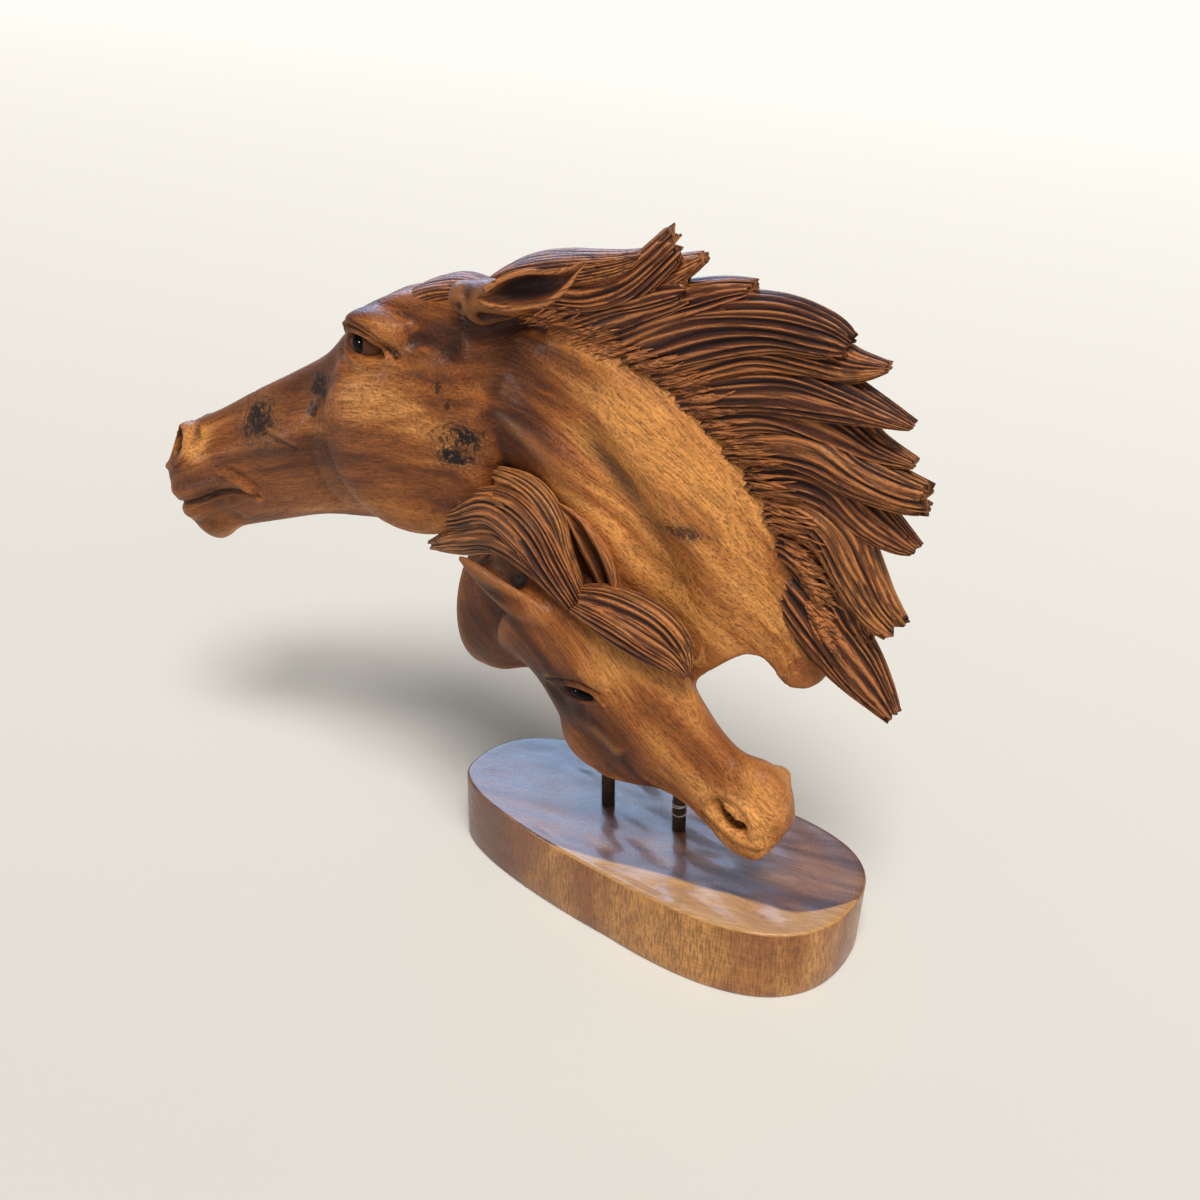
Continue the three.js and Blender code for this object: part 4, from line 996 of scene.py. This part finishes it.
slab_wood = bpy.data.materials.new("slab_wood")
slab_wood.use_nodes = True
tree = slab_wood.node_tree
nodes, links = tree.nodes, tree.links
shader = nodes["Principled BSDF"]
coords = nodes.new("ShaderNodeTexCoord").outputs["Object"]
turned = nodes.new("ShaderNodeMapping")
turned.inputs["Rotation"].default_value = (0, 0, math.radians(-14))
turned.inputs["Location"].default_value = (0.31, 0.17, 0.05)
links.new(coords, turned.inputs["Vector"])
grain = nodes.new("ShaderNodeGroup")
grain.node_tree = grain_group
links.new(turned.outputs["Vector"], grain.inputs["Vector"])
axes = nodes.new("ShaderNodeSeparateXYZ")
links.new(coords, axes.inputs["Vector"])
wander = add_noise(tree, coords, (11, 16, 10), 2)[0]
sap = add_math(tree, "SUBTRACT", add_math(tree, "MULTIPLY", axes.outputs["X"], 0.11), axes.outputs["Y"])
end = add_math(tree, "DIVIDE", add_math(tree, "SUBTRACT", axes.outputs["X"], 0.095), 0.033)
end = add_math(tree, "POWER", add_math(tree, "MAXIMUM", end, 0), 2)
sap = add_math(tree, "ADD", sap, add_math(tree, "MULTIPLY", end, 0.026))
sap = add_math(tree, "ADD", sap, add_math(tree, "MULTIPLY", wander, 0.010))
sap = add_range(tree, sap, 0.0445, 0.0475)
on_side = add_range(tree, axes.outputs["Z"], 0.0432, 0.0446, 1, 0)
heart_level = add_math(tree, "ADD", grain.outputs["Band"], add_math(tree, "MULTIPLY", grain.outputs["Fine"], 0.5))
heart = nodes.new("ShaderNodeValToRGB")
heart.color_ramp.elements.new(0.5)
for element, (position, colour) in zip(heart.color_ramp.elements, (
        (0.56, (0.045, 0.017, 0.014)), (0.72, (0.125, 0.052, 0.034)), (0.90, (0.270, 0.130, 0.068)))):
    element.position = position
    element.color = (*colour, 1)
links.new(heart_level, heart.inputs["Fac"])
pale = add_mix(tree, grain.outputs["Fine"], (0.36, 0.16, 0.045), (0.62, 0.36, 0.14))
colour = add_mix(tree, sap, heart.outputs["Color"], pale)
dashes = add_range(tree, add_noise(tree, coords, (1100, 1100, 130), 3, 0.3)[0], 0.42, 0.62)
glow = add_noise(tree, coords, (40, 40, 14), 3)[0]
amber = add_mix(tree, add_range(tree, glow, 0.35, 0.65), (0.30, 0.105, 0.022), (0.56, 0.26, 0.065))
left_end = add_range(tree, axes.outputs["X"], -0.045, -0.085)
left_end = add_math(tree, "MULTIPLY", left_end, add_range(tree, glow, 0.2, 0.45, 0.4, 1.0))
amber = add_mix(tree, left_end, amber, (0.15, 0.042, 0.017))
amber = add_mix(tree, add_math(tree, "MULTIPLY", dashes, 0.6), amber, (0.13, 0.045, 0.016))
colour = add_mix(tree, on_side, colour, amber)
streak = add_range(tree, grain.outputs["Streak"], 0.3, 0.7, 0.82, 1.15)
shade = nodes.new("ShaderNodeCombineColor")
for socket in shade.inputs[:3]:
    links.new(streak, socket)
colour = add_mix(tree, 1.0, colour, shade.outputs["Color"], "MULTIPLY")
links.new(colour, shader.inputs["Base Color"])
links.new(add_range(tree, grain.outputs["Fine"], 0.3, 0.7, 0.30, 0.42), shader.inputs["Roughness"])
shader.inputs["Specular IOR Level"].default_value = 0.4
shader.inputs["Coat Weight"].default_value = 0.3
shader.inputs["Coat Roughness"].default_value = 0.16
bump = nodes.new("ShaderNodeBump")
bump.inputs["Strength"].default_value = 0.3
bump.inputs["Distance"].default_value = 0.0004
links.new(add_math(tree, "SUBTRACT", grain.outputs["Streak"], dashes), bump.inputs["Height"])
links.new(bump.outputs["Normal"], shader.inputs["Normal"])
slab_mesh.materials.append(slab_wood)
slab = bpy.data.objects.new("oval_slab", slab_mesh)
bpy.context.collection.objects.link(slab)
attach(slab, "root")
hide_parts("oval_base")

# The rods: two lengths of dark mild steel bar, glued into holes in the slab and the carving, browned and
# a little rusty.
metal = bpy.data.materials.new("dark_steel")
metal.use_nodes = True
tree = metal.node_tree
shader = tree.nodes["Principled BSDF"]
coords = tree.nodes.new("ShaderNodeTexCoord").outputs["Object"]
rust = add_range(tree, add_noise(tree, coords, (260, 260, 120), 4)[0], 0.45, 0.65)
tree.links.new(add_mix(tree, rust, (0.10, 0.085, 0.075), (0.075, 0.035, 0.018)), shader.inputs["Base Color"])
tree.links.new(add_range(tree, rust, 0, 1, 0.32, 0.6), shader.inputs["Roughness"])
shader.inputs["Metallic"].default_value = 0.85
for name in ("left_rod", "right_rod"):
    rod = bpy.data.objects[name]
    if rod.material_slots:
        rod.material_slots[0].material = metal
    else:
        rod.data.materials.append(metal)

# The thread: a thin white string wound twice round the right rod near its foot.
THREAD_ROUND, THREAD_RADIUS, ROD_REACH = (14, 4), 0.35, 4.3
THREAD_LOOPS = [(62.5, 0.5, 0), (63.4, -0.7, 1), (57.5, 0.9, 2)]
bm = bmesh.new()
for z, lean, phase in THREAD_LOOPS:
    turn = np.linspace(0, 2 * np.pi, 49) + phase
    for k in range(48):
        corners = []
        for a in (turn[k], turn[k + 1]):
            for b in np.arange(8) / 8 * 2 * np.pi:
                reach = ROD_REACH + THREAD_RADIUS * math.cos(b)
                corners.append(bm.verts.new(Vector((THREAD_ROUND[0] + reach * math.cos(a),
                                                    THREAD_ROUND[1] + reach * math.sin(a),
                                                    z + lean * math.cos(a - phase) + THREAD_RADIUS * math.sin(b))) * MM))
        for j in range(8):
            bm.faces.new((corners[j], corners[(j + 1) % 8], corners[8 + (j + 1) % 8], corners[8 + j]))
bmesh.ops.remove_doubles(bm, verts=bm.verts, dist=1e-7)
bmesh.ops.recalc_face_normals(bm, faces=bm.faces)
for face in bm.faces:
    face.smooth = True
thread_mesh = bpy.data.meshes.new("thread")
bm.to_mesh(thread_mesh)
bm.free()
string = bpy.data.materials.new("white_thread")
string.use_nodes = True
tree = string.node_tree
shader = tree.nodes["Principled BSDF"]
coords = tree.nodes.new("ShaderNodeTexCoord").outputs["Object"]
fluff = add_noise(tree, coords, (2500, 2500, 2500), 2)[0]
tree.links.new(add_mix(tree, fluff, (0.62, 0.60, 0.56), (0.86, 0.85, 0.82)), shader.inputs["Base Color"])
shader.inputs["Roughness"].default_value = 0.8
thread_mesh.materials.append(string)
thread = bpy.data.objects.new("thread", thread_mesh)
bpy.context.collection.objects.link(thread)
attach(thread, "root")
